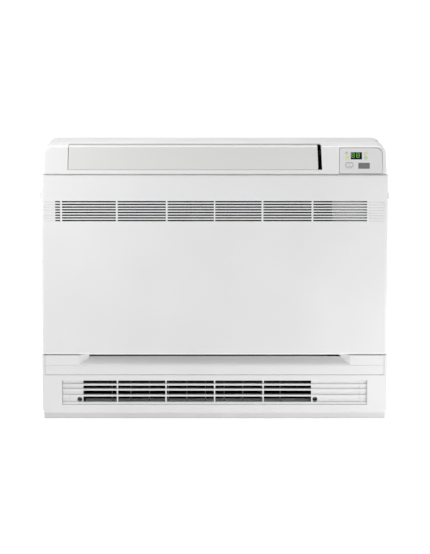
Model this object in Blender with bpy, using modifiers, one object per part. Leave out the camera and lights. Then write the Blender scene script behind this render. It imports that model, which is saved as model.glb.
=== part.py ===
"""Floor console air conditioner: a slim cabinet that stands on the floor against a wall.

The front faces -Y, +Z is up, and the origin is on the floor under the middle of the cabinet.
All lengths are in metres.
"""

from math import atan2, cos, hypot, pi, radians, sin, tan

import bmesh
import bpy
from mathutils import Matrix

# Cabinet, outside
WIDTH = 0.750
HEIGHT = 0.600
DEPTH = 0.215
FRONT_DEPTH = 0.0975
PANEL_WRAP = 0.0035
APRON_FLARE = 0.001
CHASSIS_INSET = 0.0015
PLINTH_HEIGHT = 0.015
PLINTH_SETBACK = 0.008
APRON_HEIGHT = 0.0831
TRIM_HEIGHT = 0.0446
HEAD_HEIGHT = 0.061
WALL = 0.0025
GAP = 0.0003
SEAM = 0.0010
NUDGE = 0.0001
TOP_RADIUS = 0.017
HEAD_LEAN, LEAN_RISE = 0.0025, 0.005
REAR_RADIUS = 0.020
BOTTOM_RADIUS = 0.009
EDGE_RADIUS = 0.0045
SHELL_LAP = 0.012
SMALL_ROUND = 0.0015
REAR_ROUND = 0.003
PLINTH_INSET = 0.002
PLINTH_SIDE = 0.0025
PLINTH_FRONT_RADIUS = 0.004
PLINTH_REAR_RADIUS = 0.004

# Front panel
PANEL_SKIN = 0.003
PANEL_RIM = 0.0225
PANEL_FLANGE = 0.0125
PANEL_EDGE = 0.005
FRAME_SETBACK = 0.016
SLOT_ROWS = 8
SLOT_PITCH = 0.00586
SLOT_HEIGHT = 0.003
SLOT_DROP = 0.0593
SLOT_MULLION = 0.004
SLOT_MIDDLE_HALF = 0.0015
SLOT_GROUP = 0.1002
SLOT_SIDE = 0.0447
GROOVE_SIDE = 0.0067
GROOVE_DEPTH = 0.0006
BOSS_ROWS = 3
BOSS_HALF = 0.0052
BOSS_DEPTH = 0.004
HINGE_SETBACK = 0.0063
HINGE_PIN = 0.0015
HINGE_LUG = 0.009
HINGE_WALL = 0.0015
LATCH_DROP = 0.047
LATCH_HEIGHT = 0.013
LATCH_DEPTH = 0.005
LATCH_PROUD = 0.003
LATCH_FLANGE = 0.0024
LATCH_SETBACK = 0.009
LATCH_REACH = 0.006
LATCH_LAP = 0.003
LATCH_ROUND = 0.001
RUNNING_GAP = 0.0004

# Top outlet and its flap
LOUVRE_LEFT_SIDE = 0.0601
LOUVRE_RIGHT_SIDE = 0.1535
LOUVRE_LEFT_LEAN = 0.0015
LOUVRE_RIGHT_LEAN = 0.0026
LOUVRE_DROP = 0.0515
LOUVRE_LEG = 0.0315
LOUVRE_SLOT = 0.0175
LOUVRE_END_GAP = 0.0082
LOUVRE_AXIS_SETBACK = 0.0275
LOUVRE_AXIS_DROP = 0.025
LOUVRE_PIN = 0.0025
LOUVRE_ARM = 0.0025
LOUVRE_HUB = 0.006
LOUVRE_STUB = 0.006
LOUVRE_CREASE = 0.0025
ARM_LIFT = 0.014
ARM_SPREAD = 0.004

# Control corner; places are measured in from the right side and down from the top
COVER_LEFT_SIDE = 0.105
COVER_RIGHT_SIDE = 0.0116
COVER_LEAN = 0.0022
COVER_TOP_DROP = 0.0046
COVER_CORNER = 0.013
COVER_THICKNESS = 0.003
COVER_SEAM = 0.0008
SEAT_EDGE = 0.004
SEAT_LEFT_LEDGE = 0.006
SEAT_RIGHT_LEDGE = 0.010
SEAT_LOW_LEDGE = 0.008
SEAT_DEPTH = 0.003
WINDOW_SETBACK = 0.0002
BOARD_THICKNESS = 0.0016
BOARD_SIDE_GAP = 0.005
BOARD_LOW_GAP = 0.004
BOARD_TOP_GAP = 0.006
DISPLAY_SIDE, DISPLAY_DROP = 0.0690, 0.0215
DISPLAY_WIDTH, DISPLAY_HEIGHT = 0.0245, 0.0157
INDICATORS = ((0.0898, 0.0159), (0.0888, 0.0261), (0.0485, 0.0166), (0.0484, 0.0259))
INDICATOR_RADIUS = 0.0027
INDICATOR_PROUD = 0.0004
BUTTON_SIDE, BUTTON_DROP = 0.0839, 0.0412
BUTTON_WIDTH, BUTTON_HEIGHT = 0.0163, 0.0094
BUTTON_PROUD = 0.0007
BUTTON_TRAVEL = 0.0008
BUTTON_CORNER = 0.002
BUTTON_ROUND = 0.0006
RECEIVER_SIDE, RECEIVER_DROP = 0.0521, 0.0431
RECEIVER_WIDTH, RECEIVER_HEIGHT = 0.0240, 0.0122

# Trim with the finger recess
TRIM_SIDE = 0.0060
RECESS_SIDE = 0.079
RECESS_NARROWING = 0.0223
RECESS_LIP = 0.0225
RECESS_RISE = 0.0145
RIDGE_DROP = 0.0243
RIDGE_HEIGHT = 0.0016
RIDGE_PROUD = 0.0008
FINGER_SLOT = 0.005
TRIM_ROUND = 0.0008

# Bottom grille
GRILLE_SIDE = 0.042
GRILLE_BOTTOM = 0.0323
GRILLE_DROP = 0.0107
GRILLE_DEPTH = 0.0125
GRILLE_SETBACK = 0.002
GRILLE_RAIL = 0.0015
GRILLE_FOOT = 0.0052
WEB_SETBACK = 0.003
WEB_THICKNESS = 0.0015
POCKET_DEPTH = 0.0195
BLADE_THICKNESS = 0.0035
BLADE_DROPS = (0.0130, 0.0241, 0.0372)
MULLION_END = 0.0144
MULLION_COUNT = 7
MULLION_WIDTH = 0.003
MULLION_SETBACK = 0.0015
END_POST_HALF = 0.001
MOUTH_LIFT = 0.001
MOUTH_DROP = 0.004
GUARD_PITCH = 0.0409
GUARD_END = 0.0616
GUARD_RIB = 0.0022
GUARD_DEPTH = 0.0062
GUARD_RAIL = 0.002
SCREW_LEVEL = 0.0434
SCREW_WELL = 0.0055
SCREW_HEAD = 0.004
SCREW_SHANK = 0.0018
SCREW_HEAD_HEIGHT = 0.0022
SCREW_CHAMFER = 0.0008
SCREW_LENGTH = 0.009

# Air path
AIR_LEFT_SIDE = 0.075
AIR_RIGHT_SIDE = 0.157
MOUTH_LEFT_IN = 0.0128
MOUTH_RIGHT_IN = 0.0051
DUCT_WALL = 0.002
CORE_SETBACK = 0.0735
CORE_LIFT = 0.0019
CORE_DROP = 0.039
PAD_DEPTH = 0.004
PAD_LOW, PAD_HIGH = 0.010, 0.030
ROOF_SETBACK = 0.029
ROOF_DROP = 0.001
BEND_RISE = 0.022
BEND_RUN = 0.058
THROAT_RISE = 0.018
SHELF_FRONT, SHELF_BACK = 0.016, 0.010
EAR_REAR, EAR_FRONT = 0.009, 0.008
EAR_RISE = 0.010
SUMP_RISE = 0.040
SUMP_RUN = 0.049
RUN_BACK = 0.014
BELL_THICKNESS = 0.003
BELL_RADIUS = 0.118
FAN_RADIUS = 0.150
FAN_INLET = 0.1245
FAN_LIP_GAP = 0.004
FAN_MOTOR_GAP = 0.0084
FAN_BLADES = 9
FAN_HUB = 0.022
FAN_HUB_DEPTH = 0.025
FAN_SHEET = 0.003
BLADE_SHEET = 0.0025
BLADE_INNER_IN = 0.030
BLADE_SWEEP = 34
BLADE_CURVE = 1.3
SHAFT_PROUD = 0.004
SHAFT_IN_MOTOR = 0.022
SHAFT_RADIUS = 0.004
MOTOR_RADIUS = 0.058
MOTOR_DEPTH = 0.040
MOTOR_BORE = 0.023
MOTOR_ROUND = 0.004
MOTOR_BOSS_SHARE = 0.45
RELIEF_SHARE = 0.6
BRACKET_DEPTH = 0.004
BRACKET_HALF = 0.080

# Heat exchanger and water
COIL_DEPTH = 0.040
COIL_LIFT = 0.0103
FIN_PITCH = 0.020
FIN_THICKNESS = 0.006
FIN_CUT = 0.030
TUBE_RADIUS = 0.0045
BEND_RADIUS = 0.012
BEND_STAND = 0.004
COIL_INSET = 0.002
COIL_END_GAP = 0.004
COIL_ROWS = 4
END_PLATE = 0.0015
PAN_HEIGHT = 0.022
PAN_END = 0.030
PAN_RIGHT = 0.018
PAN_FRONT = 0.007
SPIGOT_LENGTH = 0.012
SPIGOT_SHARE = 0.7
HOSE_SIDE = 0.014
HOSE_DROP = ((0.008, 0.0, 0.0), (0.024, -0.002, 0.024))
HOSE_KNEE = (0.030, 0.016, 0.034)
HOSE_RUN = 0.070
HOSE_SHORT = 0.006
HOSE_RADIUS = 0.008

# Vanes and damper
VANES = 6
VANE_NOSE = 0.016
VANE_TAIL = 0.0075
VANE_HEIGHT = 0.036
VANE_THICKNESS = 0.0015
VANE_PIN = 0.002
VANE_SETBACK = 0.010
VANE_PEG = 0.0012
VANE_ROOT = 0.002
VANE_LIFT = 0.001
CARRIER_THICKNESS = 0.003
CARRIER_HALF = 0.006
LINK_DEPTH = 0.008
LINK_FRONT_IN = 0.0032
LINK_END = 0.012
LINK_LIFT, LINK_THICKNESS = 0.0006, 0.0018
LINK_SLOT_HALF = 0.0019
LINK_RIM = 0.0014
LINK_OFFSET = -0.012
DAMPER_LENGTH = 0.046
DAMPER_THICKNESS = 0.002
DAMPER_SETBACK = 0.022
DAMPER_DROP = 0.008
DAMPER_END = 0.008
STEPPER_RADIUS = 0.012
STEPPER_DEPTH = 0.016
STEPPER_BORE = 0.009

# Filters and electrics
FILTER_THICKNESS = 0.004
FILTER_BAR = 0.004
RAIL_STEM = 0.004
RAIL_LIP = 0.0035
RAIL_LIP_DEPTH = 0.0022
FILTER_COLUMNS, FILTER_ROWS = 4, 5
WINDOW_EDGE = 0.006
FILTER_LIFT = 0.0093
FILTER_DROP = 0.046
WINDOW_LEFT_IN = 0.025
WINDOW_SIDE = 0.018
WINDOW_BOTTOM = 0.215
WINDOW_DROP = 0.033
BOARD_MARGIN = 0.006
BOARD_LIFT = 0.070
BOARD_DROP = 0.010
BOARD_DEPTH = 0.010
TERMINAL_MARGIN = 0.014
TERMINAL_DEPTH = 0.022
TERMINAL_LIFT = 0.012
TERMINAL_HEIGHT = 0.028
TERMINAL_WAYS = 5
BOX_SHEET = 0.0015
BOX_LAP = 0.005
COVER_LAP = 0.004
COVER_PROUD = 0.0062
BOX_DEPTH = 0.085

# Pipes and the wall plate
GAS_RADIUS = 0.00476
LIQUID_RADIUS = 0.003175
GAS_NUT_FLATS = 0.022
LIQUID_NUT_FLATS = 0.017
GAS_THREAD_RADIUS = 0.0079
LIQUID_THREAD_RADIUS = 0.0055
NUT_LENGTH = 0.020
NUT_BORE = 0.014
GAS_PORT = (0.018, 0.022, 0.008)
LIQUID_PORT = (0.042, 0.018, -0.010)
HEADER_SIDE = 0.020
HEADER_LIFT = 0.008
PIPE_OUT = 0.030
PIPE_BEND = 0.006
PIPE_FALL = 0.010
PIPE_SWEEP = 0.014
PIPE_RUN = 0.070
PORT_WIDTH = 0.068
PORT_SIDE = 0.017
PORT_BOTTOM, PORT_TOP = 0.022, 0.086
PLATE_SIDE = 0.115
PLATE_HEIGHT = 0.078
PLATE_DROP = 0.040
PLATE_THICKNESS = 0.0023
HOOK_IN = 0.100
HOOK_HALF = 0.010
HOOK_SLOT_LOW, HOOK_SLOT_HIGH = 0.004, 0.008
HOOK_THICKNESS = 0.002
PLATE_HOLE_IN = 0.85
PLATE_HOLE_RADIUS = 0.0035
PIPE_SETBACK = 0.004
GLAND_SIDE, GLAND_Z = 0.050, 0.130
GLAND_RADIUS = 0.011
GLAND_STEP = 0.002
GLAND_DEPTH = 0.006
GLAND_BORE = 0.0045
SENSOR_RADIUS, SENSOR_LENGTH = 0.003, 0.030
SENSOR_SIDE, SENSOR_LIFT = 0.030, 0.250

# Places worked out from the sizes above
FRONT = -DEPTH / 2 + RIDGE_PROUD
BACK = DEPTH / 2
SEAM_Y = FRONT + FRONT_DEPTH
SPARE = 0.020
PANEL_HALF = WIDTH / 2
HOUSING_HALF = PANEL_HALF - PANEL_WRAP
APRON_HALF = PANEL_HALF + APRON_FLARE
CHASSIS_HALF = HOUSING_HALF - CHASSIS_INSET
SHELL_BOTTOM = PLINTH_HEIGHT + GAP
APRON_TOP = PLINTH_HEIGHT + APRON_HEIGHT
PANEL_BOTTOM = APRON_TOP + TRIM_HEIGHT
HEAD_BOTTOM = HEIGHT - HEAD_HEIGHT
PANEL_TOP = HEAD_BOTTOM - SEAM
FRAME_FACE = FRONT + FRAME_SETBACK
FRAME_BACK = FRAME_FACE + WALL
PANEL_INNER_HALF = HOUSING_HALF + GAP
HINGE_Y = FRONT + HINGE_SETBACK
HINGE_Z = PANEL_BOTTOM + PANEL_EDGE
SLOT_END = PANEL_HALF - SLOT_SIDE
LATCH_Z = PANEL_TOP - LATCH_DROP
LATCH_Y = FRONT + LATCH_SETBACK
LOUVRE_Y = FRONT + LOUVRE_AXIS_SETBACK
LOUVRE_Z = HEIGHT - LOUVRE_AXIS_DROP
LOUVRE_BOTTOM = HEIGHT - LOUVRE_DROP
LOUVRE_LEFT = LOUVRE_LEFT_SIDE - PANEL_HALF
LOUVRE_RIGHT = PANEL_HALF - LOUVRE_RIGHT_SIDE
COVER_LEFT = PANEL_HALF - COVER_LEFT_SIDE
COVER_RIGHT_LOW = PANEL_HALF - COVER_RIGHT_SIDE
COVER_RIGHT_HIGH = COVER_RIGHT_LOW - COVER_LEAN
DISPLAY_X, DISPLAY_Z = PANEL_HALF - DISPLAY_SIDE, HEIGHT - DISPLAY_DROP
BUTTON_X, BUTTON_Z = PANEL_HALF - BUTTON_SIDE, HEIGHT - BUTTON_DROP
RECEIVER_X, RECEIVER_Z = PANEL_HALF - RECEIVER_SIDE, HEIGHT - RECEIVER_DROP
RECESS_HALF = PANEL_HALF - RECESS_SIDE
RECESS_INNER_HALF = RECESS_HALF - RECESS_NARROWING
GRILLE_HALF = PANEL_HALF - GRILLE_SIDE
GRILLE_TOP = APRON_TOP - GRILLE_DROP
MULLION_PITCH = 2 * (GRILLE_HALF - MULLION_END) / (MULLION_COUNT - 1)
AIR_LEFT = AIR_LEFT_SIDE - PANEL_HALF
AIR_RIGHT = PANEL_HALF - AIR_RIGHT_SIDE
MOUTH_LEFT = AIR_LEFT + MOUTH_LEFT_IN
MOUTH_RIGHT = AIR_RIGHT - MOUTH_RIGHT_IN
OUTLET_BACK = FRONT + LOUVRE_LEG + LOUVRE_SLOT
POCKET_BACK = FRONT + POCKET_DEPTH
CORE_FRONT = FRONT + CORE_SETBACK
CORE_BACK = BACK - WALL - PAD_DEPTH
CORE_BOTTOM = APRON_TOP + CORE_LIFT
CORE_TOP = HEAD_BOTTOM - CORE_DROP
FAN_X = (AIR_LEFT + AIR_RIGHT) / 2
FAN_Z = (CORE_BOTTOM + CORE_TOP) / 2
BELL_FRONT = CORE_FRONT - GAP - BELL_THICKNESS
COIL_BACK = BELL_FRONT - GAP
COIL_FRONT = COIL_BACK - COIL_DEPTH
COIL_BOTTOM = PANEL_BOTTOM + COIL_LIFT
BRACKET_BACK = CORE_BACK - DUCT_WALL - GAP
MOTOR_BACK = BRACKET_BACK - BRACKET_DEPTH - GAP
MOTOR_FRONT = MOTOR_BACK - MOTOR_DEPTH
FAN_FRONT = CORE_FRONT + FAN_LIP_GAP
FAN_BACK = MOTOR_FRONT - FAN_MOTOR_GAP
CONTROL_FACE = FRONT + COVER_THICKNESS + GAP
BOARD_FRONT = CONTROL_FACE + SEAT_DEPTH + GAP
FILTER_BACK = FRAME_FACE - GAP
FILTER_FRONT = FILTER_BACK - FILTER_THICKNESS
RAIL_FRONT = FILTER_FRONT - GAP - RAIL_LIP_DEPTH
FILTER_BOTTOM = PANEL_BOTTOM + FILTER_LIFT
FILTER_HEIGHT = PANEL_TOP - FILTER_DROP - FILTER_BOTTOM
WINDOW_LEFT = AIR_RIGHT + WINDOW_LEFT_IN
WINDOW_RIGHT = PANEL_HALF - WINDOW_SIDE
WINDOW_TOP = PANEL_TOP - WINDOW_DROP
PORT_RIGHT = PANEL_HALF - PORT_SIDE
PORT_LEFT = PORT_RIGHT - PORT_WIDTH
PLATE_HALF = PANEL_HALF - PLATE_SIDE
PLATE_TOP = HEIGHT - PLATE_DROP
PLATE_BOTTOM = PLATE_TOP - PLATE_HEIGHT
HOOK_X = PLATE_HALF - HOOK_IN
GLAND_X = PANEL_HALF - GLAND_SIDE

# Colour, roughness and metallic of each finish
FINISHES = {
    "white_abs": ((0.86, 0.86, 0.85), 0.42, 0.0),
    "grey_abs": ((0.55, 0.55, 0.54), 0.50, 0.0),
    "black_abs": ((0.02, 0.02, 0.02), 0.45, 0.0),
    "smoked_window": ((0.01, 0.01, 0.01), 0.10, 0.0),
    "green_lens": ((0.10, 0.75, 0.25), 0.20, 0.0),
    "amber_lens": ((0.90, 0.65, 0.05), 0.20, 0.0),
    "galvanised_steel": ((0.62, 0.64, 0.65), 0.38, 1.0),
    "aluminium": ((0.80, 0.81, 0.82), 0.35, 1.0),
    "copper": ((0.82, 0.43, 0.28), 0.30, 1.0),
    "brass": ((0.80, 0.62, 0.30), 0.28, 1.0),
    "green_board": ((0.03, 0.22, 0.09), 0.45, 0.0),
    "foam_grey": ((0.25, 0.25, 0.26), 0.85, 0.0),
}


# Scene and tools

def clear_scene():
    """Remove what the scene holds, and make the two collections."""
    for obj in list(bpy.data.objects):
        bpy.data.objects.remove(obj, do_unlink=True)
    for name in ("floor_console", "cutters"):
        bpy.context.scene.collection.children.link(bpy.data.collections.new(name))


def keep(obj, finish):
    """Put an object among the parts and give it its own material."""
    colour, roughness, metallic = FINISHES[finish]
    material = bpy.data.materials.new(f"{obj.name}_{finish}")
    material.use_nodes = True
    shader = material.node_tree.nodes["Principled BSDF"]
    shader.inputs["Base Color"].default_value = (*colour, 1.0)
    shader.inputs["Roughness"].default_value = roughness
    shader.inputs["Metallic"].default_value = metallic
    obj.data.materials.clear()
    obj.data.materials.append(material)
    bpy.data.collections["cutters"].objects.unlink(obj)
    bpy.data.collections["floor_console"].objects.link(obj)
    obj.hide_render = False
    obj.display_type = "TEXTURED"
    return obj


def helper(name, data):
    """A new object that stays out of renders until keep() makes it a part."""
    obj = bpy.data.objects.new(name, data)
    bpy.data.collections["cutters"].objects.link(obj)
    obj.hide_render = True
    obj.display_type = "WIRE"
    return obj


def boxes(name, *spans):
    """One mesh of boxes, each given as (left, right, front, back, bottom, top)."""
    mesh = bpy.data.meshes.new(name)
    bm = bmesh.new()
    for left, right, front, back, bottom, top in spans:
        made = bmesh.ops.create_cube(bm, size=1.0)
        bmesh.ops.scale(bm, vec=(right - left, back - front, top - bottom), verts=made["verts"])
        middle = ((left + right) / 2, (front + back) / 2, (bottom + top) / 2)
        bmesh.ops.translate(bm, vec=middle, verts=made["verts"])
    bm.to_mesh(mesh)
    bm.free()
    return helper(name, mesh)


TURNS = {"X": (0.0, pi / 2, 0.0), "Y": (pi / 2, 0.0, 0.0), "Z": (0.0, 0.0, 0.0)}


def rod(name, axis, centre, radius, length, sides=24, end_radius=None):
    """A cylinder or cone whose length runs along the named axis."""
    mesh = bpy.data.meshes.new(name)
    bm = bmesh.new()
    bmesh.ops.create_cone(bm, cap_ends=True, segments=sides, radius1=radius,
                          radius2=radius if end_radius is None else end_radius, depth=length)
    bm.to_mesh(mesh)
    bm.free()
    obj = helper(name, mesh)
    obj.rotation_euler = TURNS[axis]
    obj.location = centre
    if sides > 8:
        mesh.shade_smooth()
        mesh.set_sharp_from_angle(angle=radians(40))
    return obj


def as_mesh(curve_object):
    """Turn a curve object into a mesh object of the same name with its caps welded on."""
    evaluated = curve_object.evaluated_get(bpy.context.evaluated_depsgraph_get())
    mesh = bpy.data.meshes.new_from_object(evaluated)
    bm = bmesh.new()
    bm.from_mesh(mesh)
    bmesh.ops.remove_doubles(bm, verts=bm.verts, dist=1e-6)
    bm.to_mesh(mesh)
    bm.free()
    name, place = curve_object.name, curve_object.matrix_world.copy()
    bpy.data.objects.remove(curve_object)
    obj = helper(name, mesh)
    obj.matrix_world = place
    return obj


PLANES = {"XY": (0.0, 0.0, 0.0), "XZ": (pi / 2, 0.0, 0.0), "YZ": (pi / 2, 0.0, pi / 2)}


def slab(name, plane, outlines, low, high):
    """Flat outlines in the named plane, filled and thickened from low to high across it."""
    curve = bpy.data.curves.new(name, "CURVE")
    curve.dimensions = "2D"
    curve.fill_mode = "BOTH"
    curve.extrude = (high - low) / 2
    for outline in outlines:
        spline = curve.splines.new("POLY")
        spline.points.add(len(outline) - 1)
        for point, (across, up) in zip(spline.points, outline):
            point.co = (across, up, 0.0, 1.0)
        spline.use_cyclic_u = True
    obj = helper(name, curve)
    obj.rotation_euler = PLANES[plane]
    across = {"YZ": 0, "XZ": 1, "XY": 2}[plane]
    obj.location[across] = (low + high) / 2
    bpy.context.view_layer.update()
    return as_mesh(obj)


def apply_place(obj):
    """Move an object's place into its mesh, so that its points are in the cabinet's frame."""
    obj.data.transform(obj.matrix_world)
    obj.matrix_world = Matrix.Identity(4)


def rounded(corners, steps=4):
    """The outline through corners (across, up, radius), each turned into an arc of its radius."""
    outline = []
    for i, (x, y, radius) in enumerate(corners):
        if radius <= 0:
            outline.append((x, y))
            continue
        before, after = corners[i - 1], corners[(i + 1) % len(corners)]
        a1 = atan2(before[1] - y, before[0] - x)
        a2 = atan2(after[1] - y, after[0] - x)
        turn = (a2 - a1 + pi) % (2 * pi) - pi
        back_off = radius / tan(abs(turn) / 2)
        middle = a1 + turn / 2
        reach = hypot(radius, back_off)
        cx, cy = x + reach * cos(middle), y + reach * sin(middle)
        start = atan2(y + back_off * sin(a1) - cy, x + back_off * cos(a1) - cx)
        sweep = (atan2(y + back_off * sin(a2) - cy, x + back_off * cos(a2) - cx) - start + pi) % (2 * pi) - pi
        for k in range(steps + 1):
            angle = start + sweep * k / steps
            outline.append((cx + radius * cos(angle), cy + radius * sin(angle)))
    return outline


def case_outline(half, bottom, top, low_radius, high_radius, lean=0.0):
    """The cabinet's front view: a rectangle whose sides can lean inwards above the panel."""
    shoulder = HEAD_BOTTOM + LEAN_RISE
    right = [(half, bottom, low_radius), (half, shoulder, 0.0)] if lean else [(half, bottom, low_radius)]
    right.append((half - lean, top, high_radius))
    return rounded(right + [(-x, z, radius) for x, z, radius in reversed(right)])


def tube(name, routes, radius, finish=None, sides=2):
    """A round tube along each route, a list of points."""
    curve = bpy.data.curves.new(name, "CURVE")
    curve.dimensions = "3D"
    curve.bevel_depth = radius
    curve.bevel_resolution = sides
    curve.use_fill_caps = True
    for route in routes:
        spline = curve.splines.new("POLY")
        spline.points.add(len(route) - 1)
        for point, place in zip(spline.points, route):
            point.co = (*place, 1.0)
    obj = helper(name, curve)
    bpy.context.view_layer.update()
    obj = as_mesh(obj)
    return keep(obj, finish) if finish else obj


def smooth_route(points, steps=4):
    """Points along a smooth curve through the given ones, with a straight run at each end."""
    route = [points[0], points[1]]
    for i in range(1, len(points) - 2):
        p0, p1 = points[max(i - 1, 0)], points[i]
        p2, p3 = points[i + 1], points[min(i + 2, len(points) - 1)]
        for k in range(1, steps + 1):
            t = k / steps
            route.append(tuple(
                0.5 * (2 * b + (c - a) * t + (2 * a - 5 * b + 4 * c - d) * t * t
                       + (3 * b - a - 3 * c + d) * t ** 3)
                for a, b, c, d in zip(p0, p1, p2, p3)))
    return route + [points[-1]]


def bevel(obj, width, segments=2, angle=40, clamp=True):
    """Round the edges sharper than angle, clamped where edges are short unless told otherwise."""
    made = obj.modifiers.new("rounding", "BEVEL")
    made.width = width
    made.segments = segments
    made.limit_method = "ANGLE"
    made.angle_limit = radians(angle)
    made.use_clamp_overlap = clamp
    return obj


def boolean(obj, other, operation):
    """Cut the other from the object, or join it, with a modifier."""
    made = obj.modifiers.new(other.name, "BOOLEAN")
    made.operation = operation
    made.solver = "EXACT"
    made.object = other
    return obj


def cut(obj, *cutters):
    """Cut each cutter out of the object."""
    for cutter in cutters:
        boolean(obj, cutter, "DIFFERENCE")
    return obj


def fuse(obj, *others):
    """Join the others to the object as one moulding."""
    for other in others:
        boolean(obj, other, "UNION")
    return obj


def hang_on(name, place, *parts):
    """An empty on a joint's axis that carries the parts that turn or slide there."""
    empty = bpy.data.objects.new(name, None)
    empty.empty_display_size = 0.02
    empty.location = place
    bpy.data.collections["floor_console"].objects.link(empty)
    bpy.context.view_layer.update()
    for part in parts:
        part.parent = empty
        part.matrix_parent_inverse = empty.matrix_world.inverted()


# Cabinet

def front_housing():
    """The front moulding: head, frame behind the panel, and flared lower front."""
    shell = slab("front_housing", "XZ", [case_outline(
        HOUSING_HALF, PANEL_BOTTOM - SHELL_LAP, HEIGHT, 0.0, TOP_RADIUS, HEAD_LEAN)],
        FRONT, SEAM_Y + SPARE)
    bevel(shell, EDGE_RADIUS, 4, clamp=False)
    cut(shell, boxes("panel_recess", (-WIDTH, WIDTH, FRONT - SPARE, FRAME_FACE, 0.0, HEAD_BOTTOM)))
    apron = slab("apron", "XZ", [case_outline(
        APRON_HALF, SHELL_BOTTOM, PANEL_BOTTOM - SEAM, BOTTOM_RADIUS, 0.0)], FRONT, SEAM_Y + SPARE)
    bevel(apron, SMALL_ROUND, 2)
    fuse(shell, apron)
    trim_half = APRON_HALF - TRIM_SIDE
    cut(shell, boxes("trim_recess", (-trim_half, trim_half, FRONT - SPARE, FRAME_FACE,
                                     APRON_TOP, PANEL_BOTTOM + SPARE)))
    rear = SEAM_Y + 2 * SPARE
    inner_corner = (TOP_RADIUS - WALL, HEAD_LEAN)
    low_radius = BOTTOM_RADIUS - WALL
    low = SHELL_BOTTOM + WALL
    cut(shell,
        slab("main_cavity", "XZ", [case_outline(
            HOUSING_HALF - WALL, low, HEIGHT - WALL, low_radius, *inner_corner)], FRAME_BACK, rear),
        slab("flare_cavity", "XZ", [case_outline(
            APRON_HALF - WALL, low, PANEL_BOTTOM - SEAM - WALL, low_radius, 0.0)], FRAME_BACK, rear),
        slab("apron_cavity", "XZ", [case_outline(
            APRON_HALF - WALL, low, APRON_TOP - WALL, low_radius, 0.0)],
            FRONT + WALL, FRAME_BACK + WALL),
        slab("head_cavity", "XZ", [case_outline(
            HOUSING_HALF - WALL, HEAD_BOTTOM + WALL, HEIGHT - WALL, 0.0, *inner_corner)],
            FRONT + WALL, FRAME_BACK + WALL))
    grille_pocket(shell)
    frame_openings(shell)
    control_seat(shell)
    filter_rails(shell)
    hinge_lugs(shell)
    cut(shell, boxes("rear_trim", (-WIDTH, WIDTH, SEAM_Y, SEAM_Y + 3 * SPARE, -SPARE, HEIGHT + SPARE)))
    return keep(shell, "white_abs")


def grille_pocket(shell):
    """The tray behind the bottom grille, open only where the air comes out."""
    fuse(shell, boxes("pocket_block", (
        -GRILLE_HALF - WALL, GRILLE_HALF + WALL, FRONT + WALL / 2, POCKET_BACK + DUCT_WALL,
        GRILLE_BOTTOM - WALL, GRILLE_TOP + WALL)))
    cut(shell, boxes("pocket", (
        -GRILLE_HALF, GRILLE_HALF, FRONT - SPARE, POCKET_BACK, GRILLE_BOTTOM, GRILLE_TOP)))
    cut(shell, boxes("outlet_mouth", (
        MOUTH_LEFT, MOUTH_RIGHT, POCKET_BACK - WALL, POCKET_BACK + SPARE,
        GRILLE_BOTTOM + MOUTH_LIFT, GRILLE_TOP - MOUTH_DROP)))
    for side, x in zip(("left", "right"), screw_places()):
        cut(shell, rod(f"screw_well_{side}", "Y", (x, POCKET_BACK, SCREW_LEVEL),
                       SCREW_WELL, SPARE, 16))


def screw_places():
    """Where the two grille screws sit, just outside the outlet's mouth."""
    return (MOUTH_LEFT - SCREW_WELL - 2 * SEAM, MOUTH_RIGHT + SCREW_WELL + SEAM)


def filter_columns():
    """Left and right edges of the two filters, which share the width in front of the coil."""
    stem = RAIL_STEM / 2
    left_edge = AIR_LEFT + RAIL_STEM
    right_edge = AIR_RIGHT + RAIL_STEM
    return ((left_edge, FAN_X - stem - GAP), (FAN_X + stem + GAP, right_edge))


def frame_openings(shell):
    """Air windows behind the filters, the electrical window, the finger slot and the top outlet."""
    (left, left_end), (right_start, right) = filter_columns()
    bottom = FILTER_BOTTOM + WINDOW_EDGE
    top = FILTER_BOTTOM + FILTER_HEIGHT - WINDOW_EDGE
    front, back = FRAME_FACE - SPARE, FRAME_BACK + SPARE
    cut(shell, boxes(
        "frame_windows",
        (left + WINDOW_EDGE, left_end - WINDOW_EDGE, front, back, bottom, top),
        (right_start + WINDOW_EDGE, right - WINDOW_EDGE, front, back, bottom, top),
        (WINDOW_LEFT, WINDOW_RIGHT, front, back, WINDOW_BOTTOM, WINDOW_TOP),
        (-RECESS_INNER_HALF, RECESS_INNER_HALF, front, FRAME_BACK + WALL,
         PANEL_BOTTOM - SEAM - FINGER_SLOT, PANEL_BOTTOM + SEAM)))
    outlet = boxes("top_outlet", (
        LOUVRE_LEFT - SEAM, LOUVRE_RIGHT + LOUVRE_END_GAP, FRONT - SPARE, OUTLET_BACK,
        LOUVRE_BOTTOM - SEAM / 2, HEIGHT + SPARE))
    lean_ends(outlet, LOUVRE_LEFT_LEAN, LOUVRE_RIGHT_LEAN)
    cut(shell, outlet)


def cover_outline(grow):
    """The control cover's outline, with its large upper outer corner, grown by a clearance."""
    return rounded([
        (COVER_LEFT - grow, HEAD_BOTTOM + SEAM - grow, 0.0),
        (COVER_RIGHT_LOW + grow, HEAD_BOTTOM + SEAM - grow, SEAM),
        (COVER_RIGHT_HIGH + grow, HEIGHT - COVER_TOP_DROP + grow, COVER_CORNER),
        (COVER_LEFT - grow, HEIGHT - COVER_TOP_DROP + grow, SMALL_ROUND)])


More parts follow.
